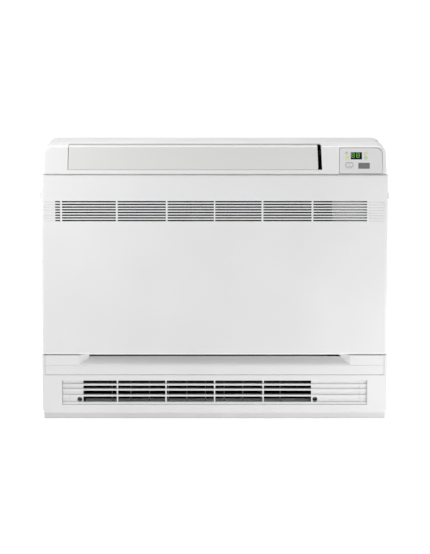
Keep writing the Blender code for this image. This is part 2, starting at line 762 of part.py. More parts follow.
def control_seat(shell):
    """The recess that the control cover sits in, with a window for the board behind it."""
    pad_back = BOARD_FRONT - GAP
    pad = boxes("control_pad", (
        COVER_LEFT - SEAT_EDGE, HOUSING_HALF + SPARE, FRONT + WALL / 2, pad_back,
        HEAD_BOTTOM + WALL / 2, HEIGHT))
    inset = WALL - GAP
    boolean(pad, slab("pad_limit", "XZ", [case_outline(
        HOUSING_HALF - inset, 0.0, HEIGHT - inset, 0.0, TOP_RADIUS - inset, HEAD_LEAN)],
        FRONT, pad_back + SPARE), "INTERSECT")
    fuse(shell, pad)
    cut(shell, slab("cover_recess", "XZ", [cover_outline(COVER_SEAM)], FRONT - SPARE, CONTROL_FACE))
    cut(shell, boxes("control_window", (
        COVER_LEFT + SEAT_LEFT_LEDGE, COVER_RIGHT_HIGH - SEAT_RIGHT_LEDGE, FRONT - SPARE, pad_back + SPARE,
        HEAD_BOTTOM + SEAT_LOW_LEDGE, HEIGHT - COVER_TOP_DROP - SEAT_EDGE)))


def filter_rails(shell):
    """Three upright rails and a ledge that hold the two filters against the frame."""
    (left, left_end), (right_start, right) = filter_columns()
    bottom = FILTER_BOTTOM - GAP
    top = PANEL_TOP - SPARE
    stems = ((left - RAIL_STEM, left - GAP), (left_end + GAP, right_start - GAP),
             (right + GAP, right + RAIL_STEM))
    spans = []
    for inner, outer in stems:
        spans.append((inner, outer, RAIL_FRONT, FRAME_FACE + WALL / 2, bottom - WALL, top))
    fuse(shell, boxes("rail_stems", *spans))
    lips = ((left - RAIL_STEM, left + RAIL_LIP), (left_end - RAIL_LIP, right_start + RAIL_LIP),
            (right - RAIL_LIP, right + RAIL_STEM))
    spans = []
    for inner, outer in lips:
        spans.append((inner, outer, RAIL_FRONT - NUDGE, FILTER_FRONT - GAP,
                      bottom - WALL + NUDGE, top - NUDGE))
    fuse(shell, boxes("rail_lips", *spans))
    fuse(shell, boxes("filter_ledge", (
        left - RAIL_STEM + NUDGE, right + RAIL_STEM - NUDGE, RAIL_FRONT + NUDGE, FRAME_FACE + WALL / 2,
        bottom - WALL + 2 * NUDGE, bottom)))


def lug_span(side):
    """The frame lug's two faces across the cabinet, on one side (-1 or 1)."""
    outer = PANEL_INNER_HALF - HINGE_LUG - 2 * GAP
    inner = outer - HINGE_LUG
    return sorted((side * inner, side * outer))


def hinge_lugs(shell):
    """Two lugs on the frame that the panel's pins turn in."""
    reach = HINGE_PIN + HINGE_WALL
    for name, side in (("left", -1), ("right", 1)):
        low, high = lug_span(side)
        fuse(shell, boxes(f"lug_{name}", (
            low, high, HINGE_Y, FRAME_FACE + WALL / 2, HINGE_Z - reach, HINGE_Z + reach)))
        middle = ((low + high) / 2, HINGE_Y, HINGE_Z)
        fuse(shell, rod(f"lug_nose_{name}", "X", middle, reach, high - low - 2 * NUDGE, 16))
        cut(shell, rod(f"lug_hole_{name}", "X", middle, HINGE_PIN + GAP, HINGE_LUG + SPARE / 2, 16))


def rear_chassis():
    """The rear half of the case, with pads that carry the air path and the wall plate's recess."""
    front = SEAM_Y + SEAM
    low = SHELL_BOTTOM
    top = HEIGHT - CHASSIS_INSET
    shell = slab("rear_chassis", "XZ", [case_outline(
        CHASSIS_HALF, low, top, BOTTOM_RADIUS, REAR_RADIUS)], front - SPARE, BACK)
    bevel(shell, REAR_ROUND, 2)
    cut(shell, slab("chassis_cavity", "XZ", [case_outline(
        CHASSIS_HALF - WALL, low + WALL, top - WALL, BOTTOM_RADIUS - WALL, REAR_RADIUS - WALL)],
        front - 2 * SPARE, BACK - WALL))
    cut(shell, boxes("front_trim", (-WIDTH, WIDTH, front - 3 * SPARE, front, -SPARE, HEIGHT + SPARE)))
    rim = 0.003
    pad_front, pad_back = CORE_BACK + GAP, BACK - WALL / 2
    fuse(shell, boxes(
        "core_pads",
        (-PLATE_HALF - rim, PLATE_HALF + rim, pad_front, pad_back, PLATE_BOTTOM - rim, PLATE_TOP + rim),
        (AIR_LEFT, AIR_RIGHT, pad_front, pad_back, CORE_BOTTOM + PAD_LOW, CORE_BOTTOM + PAD_HIGH)))
    plate_front = BACK - PLATE_THICKNESS - GAP
    cut(shell, boxes("plate_recess", (
        -PLATE_HALF - GAP, PLATE_HALF + GAP, plate_front, BACK + SPARE,
        PLATE_BOTTOM - GAP, PLATE_TOP + GAP)))
    hook_z = (PLATE_BOTTOM + PLATE_TOP) / 2
    cut(shell, boxes("hook_slots", *[
        (x - HOOK_HALF - SEAM, x + HOOK_HALF + SEAM, pad_front - SPARE, BACK,
         hook_z - HOOK_SLOT_LOW, hook_z + HOOK_SLOT_HIGH)
        for x in (-HOOK_X, HOOK_X)]))
    cut(shell, boxes("pipe_port", (
        PORT_LEFT, PORT_RIGHT, BACK - SPARE / 2, BACK + SPARE, PORT_BOTTOM, PORT_TOP)))
    cut(shell, rod("gland_hole", "Y", (GLAND_X, BACK, GLAND_Z), GLAND_RADIUS - GLAND_STEP, SPARE, 16))
    return keep(shell, "white_abs")


def base_tray():
    """The recessed plinth, a shallow tray that the case stands on."""
    half = APRON_HALF - PLINTH_SIDE
    front, rear = FRONT + PLINTH_SETBACK, BACK - PLINTH_INSET
    tray = slab("base_tray", "XY", [rounded([
        (-half, front, PLINTH_FRONT_RADIUS), (half, front, PLINTH_FRONT_RADIUS),
        (half, rear, PLINTH_REAR_RADIUS), (-half, rear, PLINTH_REAR_RADIUS)])], 0.0, PLINTH_HEIGHT)
    inner = half - WALL
    cut(tray, boxes("tray_cavity", (
        -inner, inner, front + WALL, rear - WALL, WALL, PLINTH_HEIGHT + SPARE)))
    return keep(tray, "white_abs")


def slot_spans():
    """Left and right ends of the six slot groups, mirrored about the middle."""
    spans = []
    start = SLOT_MIDDLE_HALF
    for width in (SLOT_GROUP, SLOT_GROUP + SLOT_MULLION):
        spans.append((start, start + width))
        start += width + SLOT_MULLION
    spans.append((start, SLOT_END))
    return [(-high, -low) for low, high in reversed(spans)] + spans


def slot_rows(name, low, high, front, back):
    """A column of slot cutters, one for each row."""
    top = PANEL_TOP - SLOT_DROP
    first = boxes(name, (low, high, front, back, top - SLOT_HEIGHT / 2, top + SLOT_HEIGHT / 2))
    rows = first.modifiers.new("rows", "ARRAY")
    rows.count = SLOT_ROWS
    rows.use_relative_offset = False
    rows.use_constant_offset = True
    rows.constant_offset_displace = (0.0, 0.0, -SLOT_PITCH)
    return first


def front_panel():
    """The front panel: a thin moulding with side rims that wrap the housing, and slots."""
    panel = boxes("front_panel", (-PANEL_HALF, PANEL_HALF, FRONT, FRONT + PANEL_RIM, PANEL_BOTTOM, PANEL_TOP))
    bevel(panel, PANEL_EDGE, 3)
    skin_back = FRONT + PANEL_SKIN
    cut(panel, boxes("panel_cavity", (
        -PANEL_INNER_HALF, PANEL_INNER_HALF, skin_back, FRONT + 2 * PANEL_RIM,
        PANEL_BOTTOM + WALL, PANEL_TOP - WALL)))
    cut(panel, boxes("flange_trim", (
        -PANEL_INNER_HALF, PANEL_INNER_HALF, FRONT + PANEL_FLANGE, FRONT + 2 * PANEL_RIM,
        PANEL_BOTTOM - SPARE, PANEL_TOP + SPARE)))
    cut(panel, boxes("rim_trim", (
        -WIDTH, WIDTH, FRONT + PANEL_RIM - PANEL_EDGE, FRONT + 2 * PANEL_RIM,
        PANEL_BOTTOM - SPARE, PANEL_TOP + SPARE)))
    for i, (low, high) in enumerate(slot_spans()):
        cut(panel, slot_rows(f"slots_{i + 1}", low, high, FRONT - SPARE, skin_back + PANEL_EDGE / 5))
    boss_top = PANEL_TOP - SLOT_DROP - (SLOT_ROWS - BOSS_ROWS - 0.5) * SLOT_PITCH
    fuse(panel, boxes("mullion_boss", (
        -BOSS_HALF, BOSS_HALF, skin_back - WALL / 2, skin_back + BOSS_DEPTH,
        boss_top - (BOSS_ROWS + 0.5) * SLOT_PITCH, boss_top)))
    for name, side in (("left", -1), ("right", 1)):
        low, high = sorted((side * (SLOT_END + SLOT_MULLION), side * (PANEL_HALF - GROOVE_SIDE)))
        cut(panel, slot_rows(f"grooves_{name}", low, high, FRONT - SPARE, FRONT + GROOVE_DEPTH))
        low, high = sorted((side * (PANEL_INNER_HALF - SPARE / 2), side * (PANEL_HALF + SPARE)))
        half = LATCH_DEPTH / 2 + RUNNING_GAP
        tall = LATCH_HEIGHT / 2 + RUNNING_GAP
        cut(panel, boxes(f"latch_hole_{name}", (
            low, high, LATCH_Y - half, LATCH_Y + half, LATCH_Z - tall, LATCH_Z + tall)))
        low, high = sorted((side * (PANEL_INNER_HALF - HINGE_LUG), side * (PANEL_INNER_HALF + WALL / 2)))
        reach = HINGE_PIN + HINGE_WALL
        fuse(panel, boxes(f"hinge_boss_{name}", (
            low, high, skin_back - WALL / 2, HINGE_Y + reach, PANEL_BOTTOM + WALL / 2, HINGE_Z + reach)))
        cut(panel, rod(f"boss_hole_{name}", "X", (side * (PANEL_INNER_HALF - HINGE_LUG), HINGE_Y, HINGE_Z),
                       HINGE_PIN + GAP, 2 * (HINGE_LUG - 2 * GAP), 16))
        low, high = lug_span(side)
        cut(panel, boxes(f"lug_notch_{name}", (
            low - SEAM / 2, high + SEAM / 2, skin_back, FRONT + 2 * PANEL_RIM,
            PANEL_BOTTOM - SPARE, HINGE_Z + SPARE)))
    keep(panel, "white_abs")
    pins = []
    lug_inner = lug_span(1)[0]
    for name, side in (("left", -1), ("right", 1)):
        middle = side * (PANEL_INNER_HALF - GAP + lug_inner) / 2
        length = PANEL_INNER_HALF - lug_inner - 5 * GAP
        pins.append(keep(rod(f"panel_pin_{name}", "X", (middle, HINGE_Y, HINGE_Z),
                             HINGE_PIN, length, 12), "galvanised_steel"))
    hang_on("panel_hinge", (0.0, HINGE_Y, HINGE_Z), panel, *pins)
    return panel


def latch(name, side):
    """A release tab that sticks out of the panel's rim and is pushed in."""
    outer = side * (PANEL_HALF + LATCH_PROUD)
    inner = side * (PANEL_INNER_HALF - LATCH_REACH)
    low, high = sorted((outer, inner))
    half = LATCH_DEPTH / 2
    tall = LATCH_HEIGHT / 2
    tab = boxes(name, (low, high, LATCH_Y - half, LATCH_Y + half, LATCH_Z - tall, LATCH_Z + tall))
    bevel(tab, LATCH_ROUND, 2)
    near, far = sorted((side * (PANEL_INNER_HALF - GAP), side * (PANEL_INNER_HALF - GAP - LATCH_FLANGE)))
    fuse(tab, boxes(f"{name}_flange", (
        near, far, LATCH_Y - half - SEAM, LATCH_Y + half + SEAM,
        LATCH_Z - tall - LATCH_LAP, LATCH_Z + tall + LATCH_LAP)))
    keep(tab, "white_abs")
    hang_on(f"{name}_slide", (outer, LATCH_Y, LATCH_Z), tab)
    return tab


def lean_ends(obj, left, right):
    """Spread a piece's two ends outward from the top of the cabinet down to the flap's lower edge."""
    for vert in obj.data.vertices:
        share = (HEIGHT - vert.co.z) / LOUVRE_DROP
        vert.co.x += share * (right if vert.co.x > FAN_X else -left)


def top_louvre():
    """The flap over the top front edge: an L-shaped skin on two arms with pivot stubs."""
    skin_y = FRONT + WALL
    skin_z = HEIGHT - WALL
    rear = FRONT + LOUVRE_LEG
    profile = rounded([
        (FRONT, LOUVRE_BOTTOM, 0.0), (FRONT, HEIGHT, EDGE_RADIUS), (rear, HEIGHT, 0.0),
        (rear, skin_z, 0.0), (skin_y, skin_z, LOUVRE_CREASE), (skin_y, LOUVRE_BOTTOM, 0.0)])
    flap = slab("top_louvre", "YZ", [profile], LOUVRE_LEFT, LOUVRE_RIGHT)
    apply_place(flap)
    lean_ends(flap, LOUVRE_LEFT_LEAN, LOUVRE_RIGHT_LEAN)
    stub = DUCT_WALL + LOUVRE_STUB
    for name, side, wall in (("left", -1, AIR_LEFT), ("right", 1, AIR_RIGHT)):
        near = wall - side * GAP
        low, high = sorted((near, near - side * LOUVRE_ARM))
        arm = slab(f"louvre_arm_{name}", "YZ", [rounded([
            (FRONT + WALL / 2, LOUVRE_BOTTOM + ARM_LIFT, 0.0),
            (LOUVRE_Y + ARM_SPREAD, LOUVRE_Z - LOUVRE_HUB, ARM_SPREAD),
            (LOUVRE_Y + ARM_SPREAD, HEIGHT - WALL / 2, 0.0),
            (FRONT + WALL, HEIGHT - WALL, LOUVRE_CREASE)])], low, high)
        fuse(flap, arm)
        start, end = sorted((near - side * LOUVRE_ARM / 2, near + side * stub))
        fuse(flap, rod(f"louvre_stub_{name}", "X", ((start + end) / 2, LOUVRE_Y, LOUVRE_Z),
                       LOUVRE_PIN, end - start, 16))
    keep(flap, "white_abs")
    hang_on("louvre_hinge", (0.0, LOUVRE_Y, LOUVRE_Z), flap)
    return flap


# Control corner

def button_outline(grow):
    """The power button's outline on the cover, grown by a clearance."""
    half, tall = BUTTON_WIDTH / 2 + grow, BUTTON_HEIGHT / 2 + grow
    corner = BUTTON_CORNER + grow
    return rounded([(BUTTON_X + x, BUTTON_Z + z, corner)
                    for x, z in ((-half, -tall), (half, -tall), (half, tall), (-half, tall))])


def control_corner():
    """The cover with its display, lamps, button and receiver, on one board."""
    cover = slab("control_cover", "XZ", [cover_outline(0.0)], FRONT, FRONT + COVER_THICKNESS)
    front, back = FRONT - SPARE, FRONT + SPARE
    parts = (
        ("display_module", DISPLAY_X, DISPLAY_Z, DISPLAY_WIDTH, DISPLAY_HEIGHT, "smoked_window"),
        ("receiver_window", RECEIVER_X, RECEIVER_Z, RECEIVER_WIDTH, RECEIVER_HEIGHT, "grey_abs"))
    board_face = BOARD_FRONT - GAP
    for name, x, z, width, height, finish in parts:
        cut(cover, boxes(f"{name}_hole", (
            x - width / 2 - GAP, x + width / 2 + GAP, front, back,
            z - height / 2 - GAP, z + height / 2 + GAP)))
        keep(boxes(name, (x - width / 2, x + width / 2, FRONT + WINDOW_SETBACK, board_face,
                          z - height / 2, z + height / 2)), finish)
    for i, (side, drop) in enumerate(INDICATORS):
        x, z = PANEL_HALF - side, HEIGHT - drop
        cut(cover, rod(f"indicator_hole_{i + 1}", "Y", (x, FRONT, z), INDICATOR_RADIUS + GAP, 2 * SPARE, 16))
        length = board_face - FRONT + INDICATOR_PROUD
        keep(rod(f"indicator_{i + 1}", "Y", (x, board_face - length / 2, z), INDICATOR_RADIUS, length, 16),
             "green_lens" if i in (0, 3) else "amber_lens")
    cut(cover, slab("button_hole", "XZ", [button_outline(GAP)], front, back))
    button = slab("power_button", "XZ", [button_outline(0.0)],
                  FRONT - BUTTON_PROUD, board_face - BUTTON_TRAVEL - 2 * NUDGE)
    keep(bevel(button, BUTTON_ROUND, 2), "white_abs")
    hang_on("button_slide", (BUTTON_X, FRONT, BUTTON_Z), button)
    keep(cover, "white_abs")
    keep(boxes("control_board", (
        COVER_LEFT, COVER_RIGHT_HIGH - BOARD_SIDE_GAP, BOARD_FRONT, BOARD_FRONT + BOARD_THICKNESS,
        HEAD_BOTTOM + BOARD_LOW_GAP, HEIGHT - BOARD_TOP_GAP)), "green_board")


# Trim and bottom grille

def wedge(name, front_span, back_span):
    """A block between two rectangles: (half width, y, bottom, top) at its front and at its back."""
    mesh = bpy.data.meshes.new(name)
    bm = bmesh.new()
    bmesh.ops.create_cube(bm, size=1.0)
    for vert in bm.verts:
        half, y, bottom, top = front_span if vert.co.y < 0 else back_span
        vert.co = (half if vert.co.x > 0 else -half, y, top if vert.co.z > 0 else bottom)
    bm.to_mesh(mesh)
    bm.free()
    return helper(name, mesh)


def intake_trim():
    """The strip under the panel, with the sloped finger recess and the ridge below it."""
    half = APRON_HALF - TRIM_SIDE - GAP
    bottom = APRON_TOP + 2 * GAP
    top = PANEL_BOTTOM - SEAM
    back = FRAME_FACE - GAP
    trim = boxes("intake_trim", (-half, half, FRONT, back, bottom, top))
    bevel(trim, TRIM_ROUND, 2)
    ridge = PANEL_BOTTOM - RIDGE_DROP
    fuse(trim, boxes("ridge", (
        -half + SEAM, half - SEAM, FRONT - RIDGE_PROUD, FRONT + WALL,
        ridge - RIDGE_HEIGHT / 2, ridge + RIDGE_HEIGHT / 2)))
    lip = PANEL_BOTTOM - RECESS_LIP
    depth = back - FRONT
    over = 0.002
    slope = RECESS_RISE / depth
    narrow = (RECESS_HALF - RECESS_INNER_HALF) / depth
    cut(trim, wedge("finger_recess",
                    (RECESS_HALF + narrow * over, FRONT - over, lip - slope * over, PANEL_BOTTOM + SPARE),
                    (RECESS_INNER_HALF - narrow * over, back + over, lip + RECESS_RISE + slope * over,
                     PANEL_BOTTOM + SPARE)))
    cut(trim, boxes(
        "trim_hollows",
        (-RECESS_HALF, RECESS_HALF, FRONT + WALL, back + over, bottom + WALL, lip - WALL),
        (-half + WALL, -RECESS_HALF - WALL, FRONT + WALL, back + over, bottom + WALL, top - WALL),
        (RECESS_HALF + WALL, half - WALL, FRONT + WALL, back + over, bottom + WALL, top - WALL)))
    return keep(trim, "white_abs")


def lower_grille():
    """The bottom grille: level blades and seven mullions in a thin frame, with a web at each end."""
    half = GRILLE_HALF - GAP
    bottom, top = GRILLE_BOTTOM + GAP, GRILLE_TOP - GAP
    front = FRONT + GRILLE_SETBACK
    back = front + GRILLE_DEPTH
    levels = [(GRILLE_TOP - drop, GRILLE_TOP - drop + BLADE_THICKNESS) for drop in BLADE_DROPS]
    levels += [(bottom, bottom + GRILLE_FOOT), (top - GRILLE_RAIL, top)]
    blades = boxes("lower_grille", *[(-half, half, front, back, low, high) for low, high in levels])
    edge = 2 * NUDGE
    middle = (MULLION_COUNT - 1) / 2
    posts = [((i - middle) * MULLION_PITCH, MULLION_WIDTH / 2) for i in range(MULLION_COUNT)]
    end = half - END_POST_HALF - edge
    posts += [(-end, END_POST_HALF), (end, END_POST_HALF)]
    fuse(blades, boxes("mullions", *[
        (x - w, x + w, front + MULLION_SETBACK, back - edge, bottom + edge, top - edge) for x, w in posts]))
    web = front + WEB_SETBACK
    fuse(blades, boxes("end_webs", *[
        (low, high, web, web + WEB_THICKNESS, bottom + 2 * edge, top - 2 * edge)
        for low, high in ((-end, MOUTH_LEFT), (MOUTH_RIGHT, end))]))
    for side, x in zip(("left", "right"), screw_places()):
        cut(blades, rod(f"web_hole_{side}", "Y", (x, web, SCREW_LEVEL), SCREW_WELL, 2 * WEB_SETBACK, 16))
    return keep(blades, "white_abs")


def lower_guard():
    """Small upright ribs across the outlet's mouth, on two rails."""
    bottom, top = GRILLE_BOTTOM + MOUTH_LIFT + GAP, GRILLE_TOP - MOUTH_DROP - GAP
    front, back = POCKET_BACK + GAP, POCKET_BACK + GUARD_DEPTH
    low, high = MOUTH_LEFT + GAP, MOUTH_RIGHT - GAP
    guard = boxes("lower_guard",
                  (low, high, front, back, bottom, bottom + GUARD_RAIL),
                  (low, high, front, back, top - GUARD_RAIL, top))
    edge = 2 * NUDGE
    first = MOUTH_LEFT + GUARD_END
    count = int((MOUTH_RIGHT - GUARD_END - first) / GUARD_PITCH) + 1
    fuse(guard, boxes("guard_ribs", *[
        (x, x + GUARD_RIB, front + edge, back - edge, bottom + edge, top - edge)
        for x in (first + i * GUARD_PITCH for i in range(count))]))
    return keep(guard, "black_abs")


def turned(name, profile, place, finish=None, steps=16):
    """A turned piece about an axis along Y, from (radius, y) points given front to back."""
    mesh = bpy.data.meshes.new(name)
    edges = [(i, i + 1) for i in range(len(profile) - 1)]
    mesh.from_pydata([(radius, 0.0, -y) for radius, y in profile], edges, [])
    obj = helper(name, mesh)
    screw = obj.modifiers.new("turning", "SCREW")
    screw.axis = "Z"
    screw.steps = steps
    screw.render_steps = steps
    screw.use_merge_vertices = True
    screw.merge_threshold = 1e-6
    screw.use_smooth_shade = False
    obj.rotation_euler = (pi / 2, 0.0, 0.0)
    obj.location = place
    return keep(obj, finish) if finish else obj


def grille_screws():
    """The pan head screws that fix the pocket to the lower duct's flange."""
    flange = duct_flange_front()
    head_back = -GAP
    head_front = head_back - SCREW_HEAD_HEIGHT
    tip = head_back + SCREW_LENGTH
    for side, x in zip(("left", "right"), screw_places()):
        turned(f"grille_screw_{side}", [
            (0.0, head_front), (SCREW_HEAD - SCREW_CHAMFER, head_front),
            (SCREW_HEAD, head_front + SCREW_CHAMFER),
            (SCREW_HEAD, head_back), (SCREW_SHANK, head_back), (SCREW_SHANK, tip),
            (0.0, tip + SEAM)], (x, flange, SCREW_LEVEL), "black_abs", 12)


# Air path

def duct_flange_front():
    """The front face of the lower duct's flange, behind the grille's pocket."""
    return POCKET_BACK + DUCT_WALL + GAP


def duct(name, outer, inner):
    """A duct of one profile across the cabinet, with an end wall at each side."""
    body = slab(name, "YZ", [outer], AIR_LEFT - DUCT_WALL, AIR_RIGHT + DUCT_WALL)
    return cut(body, slab(f"{name}_bore", "YZ", [inner], AIR_LEFT, AIR_RIGHT))


def fan_casing():
    """The fan's chamber: a back wall and two side walls, open above, below and in front."""
    top = CORE_TOP - GAP
    casing = boxes("fan_casing", (
        AIR_LEFT - DUCT_WALL, AIR_RIGHT + DUCT_WALL, CORE_FRONT, CORE_BACK, CORE_BOTTOM, top))
    cut(casing, boxes("fan_chamber", (
        AIR_LEFT, AIR_RIGHT, CORE_FRONT - SPARE, CORE_BACK - DUCT_WALL, CORE_BOTTOM - SPARE, top + SPARE)))
    return keep(casing, "black_abs")


def vane_shelf():
    """The level part of the upper duct's front wall that carries the vanes: its middle and height."""
    return LOUVRE_Y + VANE_SETBACK, HEAD_BOTTOM + WALL + GAP + DUCT_WALL


def upper_duct():
    """From the fan's chamber up and forward to the top outlet."""
    w = DUCT_WALL
    roof_y = LOUVRE_Y + ROOF_SETBACK
    roof_z = LOUVRE_Z - ROOF_DROP
    head = HEIGHT - WALL - GAP
    throat = CORE_FRONT + w
    lip_y = FRONT + WALL + GAP
    lip_z = LOUVRE_BOTTOM - SEAM
    shelf_y, shelf_z = vane_shelf()
    shelf_front, shelf_back = shelf_y - SHELF_FRONT, shelf_y + SHELF_BACK
    bend_y, bend_z = CORE_BACK - BEND_RUN, CORE_TOP + BEND_RISE
    ear = LOUVRE_Z + EAR_RISE
    inner = [(throat, CORE_TOP - SPARE), (CORE_BACK - w, CORE_TOP - SPARE), (CORE_BACK - w, bend_z),
             (bend_y, roof_z - 3 * SEAM), (roof_y, roof_z),
             (roof_y - w, HEIGHT + SPARE), (lip_y - SPARE, HEIGHT + SPARE), (lip_y - SPARE, lip_z + w / 2),
             (lip_y, lip_z + w / 2), (shelf_front, shelf_z), (shelf_back, shelf_z),
             (throat, CORE_TOP + THROAT_RISE)]
    outer = [(throat - w, CORE_TOP), (CORE_BACK, CORE_TOP), (CORE_BACK, bend_z + SEAM),
             (bend_y + SEAM, roof_z - SEAM), (roof_y + w, roof_z + w), (roof_y + w, head),
             (roof_y, head), (roof_y, roof_z + w / 2), (LOUVRE_Y + EAR_REAR, ear),
             (LOUVRE_Y - EAR_FRONT, ear + w), (FRONT + WALL + ARM_SPREAD + 3 * SEAM, LOUVRE_Z - EAR_FRONT),
             (lip_y, lip_z), (lip_y, lip_z - w / 2), (shelf_front, shelf_z - w), (shelf_back, shelf_z - w),
             (throat - w, CORE_TOP + THROAT_RISE - SMALL_ROUND)]
    body = duct("upper_duct", outer, inner)
    for name, x in (("left", AIR_LEFT), ("right", AIR_RIGHT)):
        cut(body, rod(f"louvre_bearing_{name}", "X", (x, LOUVRE_Y, LOUVRE_Z), LOUVRE_PIN + GAP, SPARE, 16))
    return keep(body, "black_abs")


def damper_axis():
    """Where the lower damper turns: (y, z)."""
    return POCKET_BACK + DAMPER_SETBACK, GRILLE_TOP - DAMPER_DROP


def lower_duct():
    """From the fan's chamber down and forward to the bottom grille, with a flange in front."""
    w = DUCT_WALL
    front = duct_flange_front()
    floor = GRILLE_BOTTOM - GUARD_DEPTH + 2 * NUDGE
    roof = GRILLE_TOP + SEAM
    throat = CORE_FRONT + w
    top = CORE_BOTTOM - GAP
    sump_y, sump_z = CORE_BACK - SUMP_RUN, CORE_BOTTOM - SUMP_RISE
    knee = CORE_FRONT - RUN_BACK
    inner = [(throat, top + SPARE), (CORE_BACK - w, top + SPARE), (CORE_BACK - w, sump_z),
             (sump_y, floor), (front - SPARE, floor), (front - SPARE, roof),
             (knee, roof), (throat, top - 3 * SEAM)]
    outer = [(throat - w, top), (CORE_BACK, top), (CORE_BACK, sump_z - SEAM),
             (sump_y + SEAM, floor - w), (front, floor - w), (front, roof + w),
             (knee - SEAM, roof + w), (throat - w, top - SEAM)]
    body = duct("lower_duct", outer, inner)
    left, right = screw_places()
    side = SCREW_WELL + w
    fuse(body, boxes(
        "duct_flanges",
        (left - side, AIR_LEFT - w / 2, front, front + 2 * w, floor, roof),
        (AIR_RIGHT + w / 2, right + side, front, front + 2 * w, floor, roof),
        (AIR_LEFT - w / 2, MOUTH_LEFT - SEAM, front + w / 4, front + 1.5 * w, floor - w / 2, roof + w / 2),
        (MOUTH_RIGHT + SEAM, AIR_RIGHT + w / 2, front + w / 4, front + 1.5 * w, floor - w / 2, roof + w / 2)))
    for name, x in (("left", left), ("right", right)):
        cut(body, rod(f"screw_hole_{name}", "Y", (x, front, SCREW_LEVEL),
                      SCREW_SHANK + GAP, 2 * SPARE, 12))
    y, z = damper_axis()
    for name, x in (("left", AIR_LEFT), ("right", AIR_RIGHT)):
        cut(body, rod(f"damper_bearing_{name}", "X", (x, y, z), LOUVRE_PIN + GAP, SPARE, 16))
    return keep(body, "black_abs")


def lower_damper():
    """The flap that shuts the bottom outlet, open at rest under the duct's roof."""
    y, z = damper_axis()
    half = DAMPER_THICKNESS / 2
    flap = boxes("lower_damper", (
        AIR_LEFT + SEAM, AIR_RIGHT - SEAM, y, y + DAMPER_LENGTH, z - half, z + half))
    fuse(flap, rod("damper_bar", "X", (FAN_X, y, z), LOUVRE_PIN - NUDGE,
                   AIR_RIGHT - AIR_LEFT + 2 * DAMPER_END, 16))
    keep(flap, "black_abs")
    hang_on("damper_hinge", (FAN_X, y, z), flap)
    return flap


def bell_mouth():
    """The plate between the coil and the fan, with a round inlet and its lip."""
    plate = boxes("bell_mouth", (
        AIR_LEFT - DUCT_WALL, AIR_RIGHT + DUCT_WALL, BELL_FRONT, BELL_FRONT + BELL_THICKNESS,
        CORE_BOTTOM, CORE_TOP))
    lip_back = FAN_FRONT - SEAM / 2
    lip_front = BELL_FRONT + SEAM
    centre = (FAN_X, (lip_front + lip_back) / 2, FAN_Z)
    fuse(plate, rod("bell_lip", "Y", centre, BELL_RADIUS + WALL, lip_back - lip_front, 40))
    cut(plate, rod("bell_bore", "Y", (FAN_X, BELL_FRONT, FAN_Z), BELL_RADIUS, 3 * SPARE, 40))
    return keep(plate, "black_abs")


def blade_outline(turn):
    """One backward-curved blade: a strip between two arcs, in the fan's own plane."""
    inner, outer, steps = FAN_INLET - BLADE_INNER_IN, FAN_RADIUS - DUCT_WALL, 4
    sides = []
    for offset in (-BLADE_SHEET / 2, BLADE_SHEET / 2):
        side = []
        for k in range(steps + 1):
            radius = inner + (outer - inner) * k / steps
            angle = turn - radians(BLADE_SWEEP) * (k / steps) ** BLADE_CURVE + offset / radius
            side.append((radius * cos(angle), radius * sin(angle)))
        sides.append(side)
    return sides[0] + sides[1][::-1]


def turbo_fan():
    """The turbo fan: nine blades between a back plate with its hub and a front shroud."""
    plate_middle = FAN_BACK - FAN_SHEET / 2
    shroud_middle = FAN_FRONT + FAN_SHEET / 2
    fan = rod("turbo_fan", "Y", (FAN_X, plate_middle, FAN_Z), FAN_RADIUS, FAN_SHEET, 40)
    hub_front = FAN_BACK - FAN_HUB_DEPTH
    fuse(fan, rod("fan_hub", "Y", (FAN_X, (hub_front + plate_middle) / 2, FAN_Z),
                  FAN_HUB, plate_middle - hub_front, 20))
    blades = slab("fan_blades", "XZ", [blade_outline(2 * pi * i / FAN_BLADES) for i in range(FAN_BLADES)],
                  shroud_middle, plate_middle)
    blades.location.x += FAN_X
    blades.location.z += FAN_Z
    fuse(fan, blades)
    shroud = rod("fan_shroud", "Y", (FAN_X, shroud_middle, FAN_Z), FAN_RADIUS, FAN_SHEET, 40)
    cut(shroud, rod("shroud_bore", "Y", (FAN_X, FAN_FRONT, FAN_Z), FAN_INLET, SPARE, 40))
    fuse(fan, shroud)
    cut(fan, rod("hub_bore", "Y", (FAN_X, FAN_BACK, FAN_Z), SHAFT_RADIUS + GAP, 4 * SPARE, 16))
    keep(fan, "black_abs")
    shaft_front, shaft_back = hub_front - SHAFT_PROUD, MOTOR_FRONT + SHAFT_IN_MOTOR
    shaft = keep(rod("fan_shaft", "Y", (FAN_X, (shaft_front + shaft_back) / 2, FAN_Z),
                     SHAFT_RADIUS, shaft_back - shaft_front, 16), "galvanised_steel")
    hang_on("fan_axis", (FAN_X, FAN_BACK, FAN_Z), fan, shaft)
    return fan


